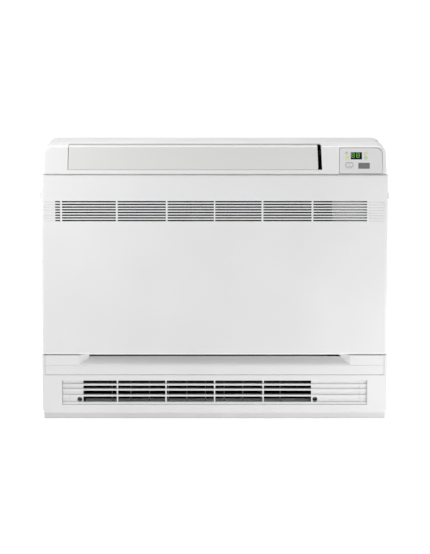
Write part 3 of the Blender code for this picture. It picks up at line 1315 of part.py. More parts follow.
def fan_motor():
    """The motor behind the fan and the bracket that bolts it to the casing."""
    boss = MOTOR_RADIUS * MOTOR_BOSS_SHARE
    motor = turned("fan_motor", [
        (0.0, MOTOR_FRONT), (boss, MOTOR_FRONT), (boss, MOTOR_FRONT + MOTOR_ROUND),
        (MOTOR_RADIUS - MOTOR_ROUND, MOTOR_FRONT + MOTOR_ROUND),
        (MOTOR_RADIUS, MOTOR_FRONT + 2 * MOTOR_ROUND), (MOTOR_RADIUS, MOTOR_BACK - MOTOR_ROUND),
        (MOTOR_RADIUS - MOTOR_ROUND, MOTOR_BACK), (0.0, MOTOR_BACK)],
        (FAN_X, 0.0, FAN_Z), steps=24)
    cut(motor, rod("motor_bore", "Y", (FAN_X, MOTOR_FRONT, FAN_Z), SHAFT_RADIUS + GAP, 2 * MOTOR_BORE, 16))
    keep(motor, "galvanised_steel")
    bracket = boxes("motor_bracket", (
        FAN_X - BRACKET_HALF, FAN_X + BRACKET_HALF, BRACKET_BACK - BRACKET_DEPTH, BRACKET_BACK,
        FAN_Z - BRACKET_HALF, FAN_Z + BRACKET_HALF))
    cut(bracket, rod("bracket_relief", "Y", (FAN_X, BRACKET_BACK, FAN_Z),
                     MOTOR_RADIUS * RELIEF_SHARE, SPARE, 24))
    return keep(bracket, "galvanised_steel")


# Heat exchanger and water

def evaporator():
    """Fins between two end plates, with return bends at the left and the header at the right."""
    top = CORE_TOP - COIL_INSET
    plate = END_PLATE
    left, right = AIR_LEFT + COIL_END_GAP, AIR_RIGHT - COIL_END_GAP
    count = int((right - left - FIN_THICKNESS) / FIN_PITCH)
    margin = (right - left - count * FIN_PITCH - FIN_THICKNESS) / 2
    comb = [(left, COIL_BACK), (left, COIL_FRONT)]
    for i in range(count):
        start = left + margin + FIN_THICKNESS + i * FIN_PITCH
        end = start + FIN_PITCH - FIN_THICKNESS
        comb += [(start, COIL_FRONT), (start, COIL_FRONT + FIN_CUT),
                 (end, COIL_FRONT + FIN_CUT), (end, COIL_FRONT)]
    comb += [(right, COIL_FRONT), (right, COIL_BACK)]
    keep(slab("evaporator_fins", "XY", [comb], COIL_BOTTOM, top), "aluminium")
    middle_y = (COIL_FRONT + COIL_BACK) / 2
    pitch = (top - COIL_BOTTOM) / COIL_ROWS
    for name, side, wall in (("evaporator_end_left", -1, left), ("evaporator_end_right", 1, right)):
        near = wall + side * GAP
        root = near + side * plate / 3
        low, high = sorted((near, near + side * plate))
        end = boxes(name, (low, high, COIL_FRONT, COIL_BACK, COIL_BOTTOM, top))
        bends = []
        for i in range(COIL_ROWS):
            z = COIL_BOTTOM + (i + 0.5) * pitch
            bend = []
            for k in range(7):
                angle = pi * k / 6
                bend.append((near + side * (plate / 2 + BEND_STAND + BEND_RADIUS * sin(angle)),
                             middle_y, z + BEND_RADIUS * cos(angle)))
            bends.append([(root, *bend[0][1:])] + bend + [(root, *bend[-1][1:])])
        keep(fuse(end, tube(f"{name}_bends", bends, TUBE_RADIUS, sides=1)), "copper")


def drain_pan():
    """The tray under the coil, with a spigot at its right end, and the hose."""
    front, back = COIL_FRONT - PAN_FRONT, COIL_BACK
    left, right = AIR_LEFT - PAN_END, AIR_RIGHT + PAN_RIGHT
    top = COIL_BOTTOM - GAP
    bottom = top - PAN_HEIGHT
    pan = boxes("drain_pan", (left, right, front, back, bottom, top))
    cut(pan, boxes("pan_hollow", (
        left + WALL, right - WALL, front + WALL, back - WALL, bottom + WALL, top + SPARE)))
    spigot_y = (front + back) / 2
    spigot_z = bottom + HOSE_RADIUS
    spigot_end = right + SPIGOT_LENGTH
    fuse(pan, rod("pan_spigot", "X", ((right - WALL / 2 + spigot_end) / 2, spigot_y, spigot_z),
                  HOSE_RADIUS * SPIGOT_SHARE, spigot_end - right + WALL / 2, 12))
    keep(pan, "foam_grey")
    start = spigot_end + GAP
    low = PORT_BOTTOM + HOSE_RADIUS + 3 * SEAM
    x = PORT_LEFT + HOSE_SIDE
    route = [(start, spigot_y, spigot_z)]
    for along, back_by, down in HOSE_DROP:
        route.append((start + along, spigot_y + back_by, spigot_z - down))
    route += [(start + HOSE_KNEE[0], spigot_y + HOSE_KNEE[1], low + HOSE_KNEE[2]),
              (x, spigot_y + HOSE_RUN, low + PAD_DEPTH),
              (x, BACK - PAN_END, low), (x, BACK - HOSE_SHORT, low)]
    return tube("drain_hose", [smooth_route(route, 3)], HOSE_RADIUS, "foam_grey")


def pipes():
    """The gas and liquid pipes from the coil to their flare nuts in the port."""
    header_x = AIR_RIGHT + HEADER_SIDE
    y = (COIL_FRONT + COIL_BACK) / 2
    z = COIL_BOTTOM + HEADER_LIFT
    start = AIR_RIGHT - COIL_INSET + GAP
    nut_front = BACK - PIPE_SETBACK - NUT_LENGTH
    for name, radius, flats, thread, (side, drop, offset) in (
            ("gas", GAS_RADIUS, GAS_NUT_FLATS, GAS_THREAD_RADIUS, GAS_PORT),
            ("liquid", LIQUID_RADIUS, LIQUID_NUT_FLATS, LIQUID_THREAD_RADIUS, LIQUID_PORT)):
        x, level, depth = PORT_RIGHT - side, PORT_TOP - drop, y + offset
        tube(f"{name}_pipe", [smooth_route([
            (start, depth, z), (header_x, depth, z),
            (header_x + PIPE_OUT, depth + PIPE_BEND, z - PIPE_FALL),
            (x - PIPE_SWEEP, depth + PIPE_RUN / 2, level + PIPE_OUT),
            (x, depth + PIPE_RUN, level + COIL_INSET),
            (x, nut_front - NUT_LENGTH, level), (x, nut_front - GAP, level)], 3)], radius, "copper")
        corner = flats / 2 / cos(pi / 6)
        fitting = rod(f"{name}_nut", "Y", (x, nut_front + NUT_LENGTH / 2, level), corner, NUT_LENGTH, 6)
        cut(fitting, rod(f"{name}_nut_bore", "Y", (x, nut_front + NUT_LENGTH, level),
                         thread, 2 * NUT_BORE, 16))
        keep(fitting, "brass")


def sensor():
    """The temperature sensor clipped to the front of the coil."""
    place = (AIR_RIGHT - SENSOR_SIDE, COIL_FRONT - GAP - SENSOR_RADIUS, COIL_BOTTOM + SENSOR_LIFT)
    return keep(rod("temperature_sensor", "Z", place, SENSOR_RADIUS, SENSOR_LENGTH, 12), "copper")


# Vanes

def vane_places():
    """Where the upright vanes turn, evenly across the outlet."""
    pitch = (AIR_RIGHT - AIR_LEFT) / VANES
    return [AIR_LEFT + (i + 0.5) * pitch for i in range(VANES)]


def vanes():
    """Upright vanes on pins in a carrier, ganged by one link."""
    y, shelf = vane_shelf()
    pin_low = shelf + GAP
    level = pin_low + CARRIER_THICKNESS
    carrier = boxes("vane_carrier", (
        AIR_LEFT + GAP, AIR_RIGHT - GAP, y - CARRIER_HALF, y + CARRIER_HALF, pin_low, level))
    places = vane_places()
    link_front = y + LINK_OFFSET - LINK_FRONT_IN
    link_back = link_front + LINK_DEPTH
    link_low = level + LINK_LIFT
    link_high = link_low + LINK_THICKNESS
    link = boxes("vane_link", (
        places[0] - LINK_END, places[-1] + LINK_END, link_front, link_back, link_low, link_high))
    vane_bottom = link_high + VANE_LIFT
    root = vane_bottom + VANE_ROOT
    for i, x in enumerate(places):
        cut(carrier, rod(f"vane_bearing_{i + 1}", "Z", (x, y, level), VANE_PIN + GAP, SPARE / 2, 8))
        cut(link, boxes(f"link_slot_{i + 1}", (
            x - LINK_SLOT_HALF, x + LINK_SLOT_HALF, link_front + LINK_RIM, link_back - LINK_RIM,
            link_low - WALL, link_high + WALL)))
        vane = boxes(f"air_vane_{i + 1}", (
            x - VANE_THICKNESS / 2, x + VANE_THICKNESS / 2, y - VANE_NOSE, y + VANE_TAIL,
            vane_bottom, vane_bottom + VANE_HEIGHT))
        fuse(vane, rod(f"vane_pin_{i + 1}", "Z", (x, y, (pin_low + root) / 2),
                       VANE_PIN, root - pin_low, 8))
        fuse(vane, rod(f"vane_peg_{i + 1}", "Z", (x, y + LINK_OFFSET, (link_low + root) / 2),
                       VANE_PEG, root - link_low, 6))
        keep(vane, "black_abs")
        hang_on(f"vane_axis_{i + 1}", (x, y, vane_bottom), vane)
    keep(carrier, "black_abs")
    keep(link, "black_abs")
    hang_on("link_slide", (FAN_X, y + LINK_OFFSET, link_low), link)


# Motors, filters and electrics

def steppers():
    """The small motors that turn the top flap and the lower damper."""
    y, z = damper_axis()
    for name, centre in (("louvre_motor", (LOUVRE_Y, LOUVRE_Z)), ("damper_motor", (y, z))):
        near = AIR_RIGHT + DUCT_WALL + GAP
        body = rod(name, "X", (near + STEPPER_DEPTH / 2, *centre), STEPPER_RADIUS, STEPPER_DEPTH, 20)
        cut(body, rod(f"{name}_bore", "X", (near, *centre), LOUVRE_PIN + GAP, 2 * STEPPER_BORE, 12))
        keep(body, "galvanised_steel")


def filters():
    """Two air filters: frames with a four by five grid of openings."""
    rib = FILTER_BAR / 2
    top = FILTER_BOTTOM + FILTER_HEIGHT
    height = (FILTER_HEIGHT - 2 * FILTER_BAR + rib) / FILTER_ROWS
    for name, (left, right) in zip(("filter_left", "filter_right"), filter_columns()):
        frame = boxes(name, (left, right, FILTER_FRONT, FILTER_BACK, FILTER_BOTTOM, top))
        width = (right - left - 2 * FILTER_BAR + rib) / FILTER_COLUMNS
        holes = []
        for i in range(FILTER_COLUMNS):
            for j in range(FILTER_ROWS):
                x = left + FILTER_BAR + i * width
                z = FILTER_BOTTOM + FILTER_BAR + j * height
                holes.append((x, x + width - rib, FILTER_FRONT - WALL, FILTER_BACK + WALL,
                              z, z + height - rib))
        keep(cut(frame, boxes(f"{name}_holes", *holes)), "black_abs")
        hang_on(f"{name}_slide", ((left + right) / 2, FILTER_FRONT, FILTER_BOTTOM), frame)


def electrics():
    """The electrical box behind the frame, its cover in front, and what it holds."""
    left, right = WINDOW_LEFT - COVER_LAP, WINDOW_RIGHT + COVER_LAP
    bottom, top = WINDOW_BOTTOM - COVER_LAP, WINDOW_TOP + COVER_LAP
    cover_front = FRAME_FACE - COVER_PROUD
    cover = boxes("electrical_cover", (left, right, cover_front, FRAME_FACE - GAP, bottom, top))
    bevel(cover, SMALL_ROUND, 1)
    cut(cover, boxes("cover_hollow", (
        left + WALL, right - WALL, cover_front + WALL, FRAME_FACE + SPARE, bottom + WALL, top - WALL)))
    keep(cover, "white_abs")
    front = FRAME_BACK + GAP
    back = front + BOX_DEPTH
    left, right = WINDOW_LEFT - BOX_LAP, WINDOW_RIGHT + BOX_LAP
    bottom, top = WINDOW_BOTTOM - BOX_LAP, WINDOW_TOP + BOX_LAP
    box = boxes("electrical_box", (left, right, front, back, bottom, top))
    sheet = BOX_SHEET
    cut(box, boxes("box_hollow", (
        left + sheet, right - sheet, front - SPARE, back - sheet, bottom + sheet, top - sheet)))
    keep(box, "galvanised_steel")
    board_back = back - sheet - GAP
    keep(boxes("circuit_board", (
        WINDOW_LEFT + BOARD_MARGIN, WINDOW_RIGHT - BOARD_MARGIN, board_back - BOARD_DEPTH, board_back,
        WINDOW_BOTTOM + BOARD_LIFT, WINDOW_TOP - BOARD_DROP)), "green_board")
    left, right = WINDOW_LEFT + TERMINAL_MARGIN, WINDOW_RIGHT - TERMINAL_MARGIN
    bottom = WINDOW_BOTTOM + TERMINAL_LIFT
    top = bottom + TERMINAL_HEIGHT
    block = boxes("terminal_block", (left, right, board_back - TERMINAL_DEPTH, board_back, bottom, top))
    pitch = (right - left) / TERMINAL_WAYS
    rib = pitch / 5
    rim = TERMINAL_HEIGHT / 5
    cut(block, boxes("terminal_ways", *[
        (left + i * pitch + rib, left + (i + 1) * pitch - rib, board_back - TERMINAL_DEPTH - WALL,
         board_back - TERMINAL_DEPTH / 2, bottom + rim, top - rim)
        for i in range(TERMINAL_WAYS)]))
    keep(block, "black_abs")


def wall_plate():
    """The steel plate on the wall, with two hooks that the chassis hangs on."""
    front = BACK - PLATE_THICKNESS
    plate = boxes("mounting_plate", (-PLATE_HALF, PLATE_HALF, front, BACK, PLATE_BOTTOM, PLATE_TOP))
    hook_z = (PLATE_BOTTOM + PLATE_TOP) / 2
    hook_top = hook_z + HOOK_SLOT_HIGH - GAP
    fuse(plate, boxes("plate_hooks", *[
        (x - HOOK_HALF, x + HOOK_HALF, CORE_BACK + GAP + SEAM, front + PLATE_THICKNESS / 2,
         hook_top - HOOK_THICKNESS, hook_top)
        for x in (-HOOK_X, HOOK_X)]))
    hole_x = PLATE_HALF * PLATE_HOLE_IN
    for i, x in enumerate((-hole_x, hole_x)):
        cut(plate, rod(f"plate_hole_{i + 1}", "Y", (x, BACK, hook_z), PLATE_HOLE_RADIUS, SPARE, 12))
    keep(plate, "galvanised_steel")
    gland_back = BACK - WALL - GAP
    neck = WALL + GLAND_DEPTH / 2
    gland = rod("cable_gland", "Y", (GLAND_X, gland_back - GLAND_DEPTH / 2, GLAND_Z),
                GLAND_RADIUS, GLAND_DEPTH, 20)
    fuse(gland, rod("gland_neck", "Y", (GLAND_X, BACK - WALL / 2 - GLAND_STEP, GLAND_Z),
                    GLAND_RADIUS - GLAND_STEP - GAP, neck, 16))
    cut(gland, rod("gland_bore", "Y", (GLAND_X, BACK, GLAND_Z), GLAND_BORE, 2 * SPARE, 12))
    keep(gland, "black_abs")


def main():
    """Build the cabinet from the outside in."""
    clear_scene()
    front_housing()
    rear_chassis()
    base_tray()
    front_panel()
    latch("latch_left", -1)
    latch("latch_right", 1)
    top_louvre()
    control_corner()
    intake_trim()
    lower_grille()
    lower_guard()
    grille_screws()
    fan_casing()
    upper_duct()
    lower_duct()
    lower_damper()
    bell_mouth()
    turbo_fan()
    fan_motor()
    evaporator()
    drain_pan()
    pipes()
    sensor()
    vanes()
    steppers()
    filters()
    electrics()
    wall_plate()


main()
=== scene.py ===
"""Looks, light and camera for a floor console air conditioner.

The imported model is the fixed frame: its nodes get their materials here, and the finer pieces that
ride on its bodies are built here in mesh code. Lengths are in metres in the cabinet's own frame,
with the front facing -Y and the floor at Z = 0, unless a name ends in _mm or _px.
"""

from __future__ import annotations

import logging
import math
from dataclasses import dataclass, field
from enum import Enum
from functools import cache
from typing import Any, Iterable, Sequence

import bmesh
import bpy
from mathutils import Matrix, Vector

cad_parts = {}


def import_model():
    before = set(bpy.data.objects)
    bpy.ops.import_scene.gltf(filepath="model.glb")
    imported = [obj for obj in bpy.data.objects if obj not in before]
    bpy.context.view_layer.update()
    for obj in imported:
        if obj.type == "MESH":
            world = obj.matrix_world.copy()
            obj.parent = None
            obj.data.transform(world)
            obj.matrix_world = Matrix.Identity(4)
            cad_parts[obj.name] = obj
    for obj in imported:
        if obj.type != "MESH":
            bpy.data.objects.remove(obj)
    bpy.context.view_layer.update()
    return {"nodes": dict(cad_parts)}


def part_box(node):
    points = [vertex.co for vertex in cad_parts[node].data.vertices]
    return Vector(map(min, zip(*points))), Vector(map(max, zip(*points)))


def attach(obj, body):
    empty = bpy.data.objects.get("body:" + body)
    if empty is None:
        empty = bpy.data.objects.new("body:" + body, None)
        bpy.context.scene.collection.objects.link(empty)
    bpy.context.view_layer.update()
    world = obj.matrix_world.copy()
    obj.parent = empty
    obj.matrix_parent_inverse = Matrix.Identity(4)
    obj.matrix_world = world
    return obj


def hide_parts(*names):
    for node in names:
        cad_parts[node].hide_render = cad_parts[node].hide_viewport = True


LOG = logging.getLogger("floor_console")
MM = 0.001
WHITE = "#FFFFFF"
# The sRGB curve is straight up to its toe and a power beyond it
SRGB_TOE, SRGB_SLOPE, SRGB_OFFSET, SRGB_POWER = 0.04045, 12.92, 0.055, 2.4
# A blotchy pattern seldom leaves this range, and each finer octave keeps this share of strength
BLOTCH_LOW, BLOTCH_HIGH, OCTAVE_SHARE = 0.3, 0.7, 0.55
Spot = tuple[float, float]
Point = tuple[float, float, float]
Outline = Sequence[Spot]
Socket = bpy.types.NodeSocket


# Shader nodes and colour

def linear(hex_colour: str) -> tuple[float, float, float, float]:
    """Turn an sRGB hex colour into the linear colour that shaders work in.

    Args:
        hex_colour: Colour as "#RRGGBB".

    Returns:
        Linear red, green and blue, with full alpha.
    """
    channels = []
    for i in (1, 3, 5):
        value = int(hex_colour[i:i + 2], 16) / 255
        curved = ((value + SRGB_OFFSET) / (1 + SRGB_OFFSET)) ** SRGB_POWER
        channels.append(value / SRGB_SLOPE if value <= SRGB_TOE else curved)
    return (*channels, 1.0)


def add_node(tree: bpy.types.NodeTree, kind: str, values: dict[str | int, Any] | None = None,
             links: dict[str | int, Any] | None = None, **settings: Any) -> bpy.types.Node:
    """Add one node with its settings, socket values and links.

    Args:
        tree: Node tree that gets the node.
        kind: Blender's type name of the node.
        values: Fixed values of input sockets, by name or number.
        links: Output sockets that feed input sockets, by name or number.
        **settings: Properties of the node itself.

    Returns:
        The new node.
    """
    node = tree.nodes.new(kind)
    for name, value in settings.items():
        setattr(node, name, value)
    for socket, value in (values or {}).items():
        node.inputs[socket].default_value = value
    for socket, source in (links or {}).items():
        tree.links.new(source, node.inputs[socket])
    return node


class Surface:
    """A new material with one shader, to which a finish adds its colour, roughness and relief."""

    def __init__(self, finish: Finish) -> None:
        """Start the material.

        Args:
            finish: Finish that the material is for.
        """
        self.material = bpy.data.materials.new(finish.name)
        self.material.use_nodes = True
        self.tree = self.material.node_tree
        self.shader = self.tree.nodes["Principled BSDF"]
        self.roughness = finish.roughness
        self.put("Base Color", linear(finish.colour))
        self.put("Roughness", finish.roughness)
        self.put("Metallic", finish.metallic)
        self.put("Specular IOR Level", finish.gloss)
        if finish.ior is not None:
            self.put("IOR", finish.ior)
        self.place = add_node(self.tree, "ShaderNodeTexCoord").outputs["Object"]
        self.fed: dict[str, Socket] = {}

    def put(self, socket: str, value: Any) -> None:
        """Set one of the shader's own sockets to a value that is the same all over."""
        self.shader.inputs[socket].default_value = value

    def feed(self, socket: str, source: Socket) -> None:
        """Let a node drive one of the shader's sockets, and remember it."""
        self.fed[socket] = source
        self.tree.links.new(source, self.shader.inputs[socket])

    def glow(self, colour: str, strength: float) -> None:
        """Let the surface give off light of its own in an sRGB hex colour."""
        self.put("Emission Color", linear(colour))
        self.put("Emission Strength", strength)

    def blotches(self, size_mm: float, detail: float = 2.0, stretch: Point = (1.0, 1.0, 1.0)) -> Socket:
        """A pattern of soft blotches of about the given size.

        Args:
            size_mm: Size of one blotch.
            detail: How many finer octaves lie on it.
            stretch: How much longer the blotches are along each axis.

        Returns:
            The pattern's value, from 0 to 1.
        """
        scale = tuple(1 / (size_mm * MM * s) for s in stretch)
        mapped = add_node(self.tree, "ShaderNodeMapping", {"Scale": scale}, {"Vector": self.place})
        made = add_node(self.tree, "ShaderNodeTexNoise",
                        {"Scale": 1.0, "Detail": detail, "Roughness": OCTAVE_SHARE},
                        {"Vector": mapped.outputs["Vector"]})
        return made.outputs["Fac"]

    def blend(self, mask: Socket, low: str, high: str, start: float = BLOTCH_LOW,
              end: float = BLOTCH_HIGH) -> None:
        """Colour the surface between two colours by a mask.

        Args:
            mask: Value that picks the colour.
            low: sRGB hex where the mask is at start.
            high: sRGB hex where the mask is at end.
            start: Mask value of the low colour.
            end: Mask value of the high colour.
        """
        share = add_node(self.tree, "ShaderNodeMapRange", {"From Min": start, "From Max": end},
                         {"Value": mask})
        mixed = add_node(self.tree, "ShaderNodeMix", {6: linear(low), 7: linear(high)},
                         {0: share.outputs["Result"]}, data_type="RGBA")
        self.feed("Base Color", mixed.outputs[2])

    def paint_shade_box(self, colour: str, low: Point, high: Point) -> None:
        """Paint a shade colour over the blended one inside a box: painted shade.

        Args:
            colour: The painted shade's colour as sRGB hex.
            low: Lowest corner of the box.
            high: Highest corner of the box.
        """
        axes = add_node(self.tree, "ShaderNodeSeparateXYZ", None, {"Vector": self.place})
        inside, *others = (
            add_node(self.tree, "ShaderNodeMath", {1: (start + end) / 2, 2: (end - start) / 2},
                     {0: axes.outputs[axis]}, operation="COMPARE").outputs[0]
            for axis, start, end in zip("XYZ", low, high))
        for mask in others:
            inside = add_node(self.tree, "ShaderNodeMath", None, {0: mask, 1: inside},
                              operation="MULTIPLY").outputs[0]
        mixed = add_node(self.tree, "ShaderNodeMix", {7: linear(colour)},
                         {0: inside, 6: self.fed["Base Color"]}, data_type="RGBA")
        self.feed("Base Color", mixed.outputs[2])

    def vary_roughness(self, mask: Socket, low: float, high: float) -> None:
        """Let the roughness wander about its own value by a mask.

        Args:
            mask: Value that stays within the range of a blotchy pattern.
            low: What is added where the mask is low.
            high: What is added where the mask is high.
        """
        ends = {"From Min": BLOTCH_LOW, "From Max": BLOTCH_HIGH, "To Min": self.roughness + low,
                "To Max": self.roughness + high}
        spread = add_node(self.tree, "ShaderNodeMapRange", ends, {"Value": mask})
        self.feed("Roughness", spread.outputs["Result"])

    def round_edges(self, radius_mm: float) -> None:
        """Let light catch edges as if they had the small radius of a moulded or deburred edge."""
        edge = add_node(self.tree, "ShaderNodeBevel", {"Radius": radius_mm * MM}, samples=4)
        self.feed("Normal", edge.outputs["Normal"])

    def emboss(self, height: Socket, depth_mm: float, strength: float) -> None:
        """Give the surface relief, on top of what relief it has.

        Args:
            height: Pattern of the relief.
            depth_mm: Height of the relief.
            strength: Share of the relief that shows.
        """
        links = {"Height": height}
        if "Normal" in self.fed:
            links["Normal"] = self.fed["Normal"]
        bump = add_node(self.tree, "ShaderNodeBump", {"Strength": strength, "Distance": depth_mm * MM},
                        links)
        self.feed("Normal", bump.outputs["Normal"])


# Finishes

class Grain(Enum):
    """How the mould was finished. The value is the share of its grain that shows on the plastic."""

    SPARK_ERODED = 0.5
    FINE_MATT = 0.25
    POLISHED = 0.0


class Finish:
    """What every finish has, with its colours as sRGB hex and its roughness from 0, polished, to 1.

    Bare metal is 1 in metallic, and keeps the shader's own refractive index.
    """

    name: str
    colour: str
    roughness: float
    metallic: float = 0.0
    gloss: float = 0.5
    ior: float | None = None

    def apply_to(self, surface: Surface) -> None:
        """Give a surface the look of the finish."""
        raise NotImplementedError


@dataclass(frozen=True)
class MouldedPlastic(Finish):
    """Thermoplastic as it leaves an injection mould.

    The real grain is 0.05 to 0.1 mm across, finer than a pixel, so it is drawn several times
    coarser: it then breaks up highlights and leaves flat faces calm.
    """

    name: str
    colour: str
    cloud: str
    roughness: float
    ior: float = 1.54
    grain: Grain = Grain.SPARK_ERODED
    grain_mm: float = 0.9
    depth_mm: float = 0.010
    cloud_mm: float = 140.0
    patches_per_cloud: float = 5.0
    edge_mm: float = 0.5
    gloss: float = 0.5

    def apply_to(self, surface: Surface) -> None:
        """Give a surface the look of the plastic.

        Args:
            surface: Surface to work on.
        """
        # Flow and cooling leave a whole moulding very slightly cloudy
        surface.blend(surface.blotches(self.cloud_mm, detail=1.0), self.cloud, self.colour)
        surface.vary_roughness(surface.blotches(self.cloud_mm / self.patches_per_cloud), low=-0.03, high=0.04)
        if self.edge_mm:
            surface.round_edges(self.edge_mm)
        if self.grain is not Grain.POLISHED:
            surface.emboss(surface.blotches(self.grain_mm), self.depth_mm, self.grain.value)


@dataclass(frozen=True)
class ShadeBoxPlastic(MouldedPlastic):
    """A moulding with painted shade, black by default, inside one box of its own space."""

    # Colour of the painted shade inside the box
    shade_colour: str = "#0D0E0F"
    low: Point = (-1.0, -1.0, -1.0)
    high: Point = (1.0, 1.0, 1.0)

    def apply_to(self, surface: Surface) -> None:
        """Give a surface the look of the plastic, with painted shade inside the box."""
        super().apply_to(surface)
        surface.paint_shade_box(self.shade_colour, self.low, self.high)


@dataclass(frozen=True)
class SmokedAcrylic(Finish):
    """Cast acrylic tinted nearly black: glossy, with the dark board only guessed at behind it."""

    name: str = "acrylic_smoked"
    colour: str = "#050606"
    haze: str = "#0A0B0C"
    roughness: float = 0.14
    gloss: float = 0.2
    haze_mm: float = 6.0
    ior: float = 1.49

    def apply_to(self, surface: Surface) -> None:
        """Give a surface the look of the window."""
        surface.blend(surface.blotches(self.haze_mm), self.colour, self.haze)


@dataclass(frozen=True)
class TintedLens(Finish):
    """Polycarbonate light pipe with a lit diode behind it: it glows a little and stays glossy."""

    name: str
    colour: str
    light: str
    strength: float
    roughness: float = 0.18
    ripple_mm: float = 1.5
    ior: float = 1.58

    def apply_to(self, surface: Surface) -> None:
        """Give a surface the look of the lens."""
        surface.glow(self.light, self.strength)
        surface.vary_roughness(surface.blotches(self.ripple_mm), low=-0.04, high=0.06)


@dataclass(frozen=True)
class GalvanisedSheet(Finish):
    """Hot-dip galvanised steel: zinc crystals of slightly different brightness, each a flat facet."""

    name: str = "steel_galvanised"
    colour: str = "#B9BDBF"
    dark: str = "#9DA2A5"
    roughness: float = 0.36
    spangle_mm: float = 9.0
    metallic = 1.0

    def apply_to(self, surface: Surface) -> None:
        """Give a surface the look of the sheet.

        Args:
            surface: Surface to work on.
        """
        crystals = add_node(surface.tree, "ShaderNodeTexVoronoi", {"Scale": 1 / (self.spangle_mm * MM)},
                            {"Vector": surface.place}, feature="F1")
        facet = add_node(surface.tree, "ShaderNodeSeparateColor", None, {"Color": crystals.outputs["Color"]})
        surface.blend(facet.outputs[0], self.dark, self.colour, start=0.0, end=1.0)
        surface.vary_roughness(facet.outputs[1], low=-0.08, high=0.10)


@dataclass(frozen=True)
class RolledFoil(Finish):
    """Rolled aluminium fin stock: bright, with fine rolling lines along the strip."""

    name: str = "aluminium_fin_stock"
    colour: str = "#D3D6D8"
    dark: str = "#BCC1C4"
    roughness: float = 0.30
    line_mm: float = 0.6
    line_stretch: float = 60.0
    metallic = 1.0

    def apply_to(self, surface: Surface) -> None:
        """Give a surface the look of the foil.

        Args:
            surface: Surface to work on.
        """
        lines = surface.blotches(self.line_mm, detail=3.0, stretch=(1.0, 1.0, self.line_stretch))
        surface.blend(lines, self.dark, self.colour)
        surface.vary_roughness(lines, low=-0.06, high=0.10)


@dataclass(frozen=True)
class DrawnCopper(Finish):
    """Bare drawn copper tube: pink metal that handling and heat have browned in patches."""

    name: str = "copper_drawn"
    colour: str = "#D08A66"
    tarnish: str = "#9A5B3E"
    roughness: float = 0.30
    patch_mm: float = 14.0
    dent_mm: float = 0.5
    metallic = 1.0

    def apply_to(self, surface: Surface) -> None:
        """Give a surface the look of the tube.

        Args:
            surface: Surface to work on.
        """
        patches = surface.blotches(self.patch_mm, detail=4.0)
        surface.blend(patches, self.tarnish, self.colour, start=0.38, end=0.6)
        surface.vary_roughness(patches, low=0.15, high=-0.05)
        surface.emboss(surface.blotches(self.dent_mm), depth_mm=0.01, strength=0.3)


@dataclass(frozen=True)
class TurnedBrass(Finish):
    """Forged brass with machined faces: yellow metal with fine turning marks round the bore."""

    name: str = "brass_turned"
    colour: str = "#C9A55B"
    dark: str = "#A98542"
    roughness: float = 0.26
    patch_mm: float = 5.0
    mark_mm: float = 0.5
    mark_stretch: float = 0.2
    metallic = 1.0

    def apply_to(self, surface: Surface) -> None:
        """Give a surface the look of the nut."""
        surface.blend(surface.blotches(self.patch_mm, detail=3.0), self.dark, self.colour)
        surface.emboss(surface.blotches(self.mark_mm, detail=1.0, stretch=(1.0, self.mark_stretch, 1.0)),
                       depth_mm=0.02, strength=0.4)


@dataclass(frozen=True)
class SolderMask(Finish):
    """Glass-epoxy board under green solder mask: satin, with paler copper tracks showing through."""

    name: str = "board_solder_mask"
    colour: str = "#1D5A31"
    track: str = "#2F7A45"
    roughness: float = 0.38
    pitch_mm: float = 3.2
    ior: float = 1.55

    def apply_to(self, surface: Surface) -> None:
        """Give a surface the look of the board.

        Args:
            surface: Surface to work on.
        """
        cells = add_node(surface.tree, "ShaderNodeTexVoronoi",
                         {"Scale": 1 / (self.pitch_mm * MM), "Randomness": 0.6},
                         {"Vector": surface.place}, feature="F1", distance="MANHATTAN")
        surface.blend(cells.outputs["Distance"], self.track, self.colour, start=0.55, end=0.62)
        surface.emboss(cells.outputs["Distance"], depth_mm=0.03, strength=0.3)


@dataclass(frozen=True)
class BeadFoam(Finish):
    """Expanded polystyrene painted grey, and soft hose: dull, with 3 mm beads pressed together."""

    name: str = "foam_expanded_grey"
    colour: str = "#8A8B8C"
    seam: str = "#6F7071"
    roughness: float = 0.82
    bead_mm: float = 3.0
    ior: float = 1.45

    def apply_to(self, surface: Surface) -> None:
        """Give a surface the look of the foam.

        Args:
            surface: Surface to work on.
        """
        beads = add_node(surface.tree, "ShaderNodeTexVoronoi", {"Scale": 1 / (self.bead_mm * MM)},
                         {"Vector": surface.place}, feature="DISTANCE_TO_EDGE")
        surface.blend(beads.outputs["Distance"], self.seam, self.colour, start=0.0, end=0.12)
        surface.emboss(beads.outputs["Distance"], depth_mm=0.15, strength=0.4)


@dataclass(frozen=True)
class ScreenInkAndShade(Finish):
    """Screen-print ink: flat and matt, a few hundredths of a millimetre thick; the grey one also serves as
    painted shade.
    """

    name: str
    colour: str
    patch: str
    roughness: float = 0.55
    patch_mm: float = 0.8
    ior: float = 1.5

    def apply_to(self, surface: Surface) -> None:
        """Give a surface the look of the ink."""
        surface.blend(surface.blotches(self.patch_mm), self.patch, self.colour)


WHITE_ABS = MouldedPlastic("abs_white_satin", "#EDEDED", "#E9E9E9", 0.40)
HOUSING_ABS = MouldedPlastic("abs_white_housing", "#EEEEEE", "#EAEAEA", 0.40, edge_mm=1.6)
COVER_ABS = MouldedPlastic("abs_white_cover", "#E2E2E2", "#DEDEDE", 0.40)
# The plinth's darker, warmer white is painted shade under the apron
PLINTH_SHADED_ABS = MouldedPlastic("abs_white_plinth_painted_shade", "#DCDAD9", "#D7D5D4", 0.44)
REAR_ABS = MouldedPlastic("abs_white_rear", "#E6E7E7", "#E0E1E1", 0.46, grain=Grain.FINE_MATT)
DUCT_ABS = MouldedPlastic("abs_black_duct", "#0F1011", "#151617", 0.58, 1.49, cloud_mm=60.0)
GUARD_ABS = MouldedPlastic("abs_dark_guard", "#6E7071", "#646667", 0.50)
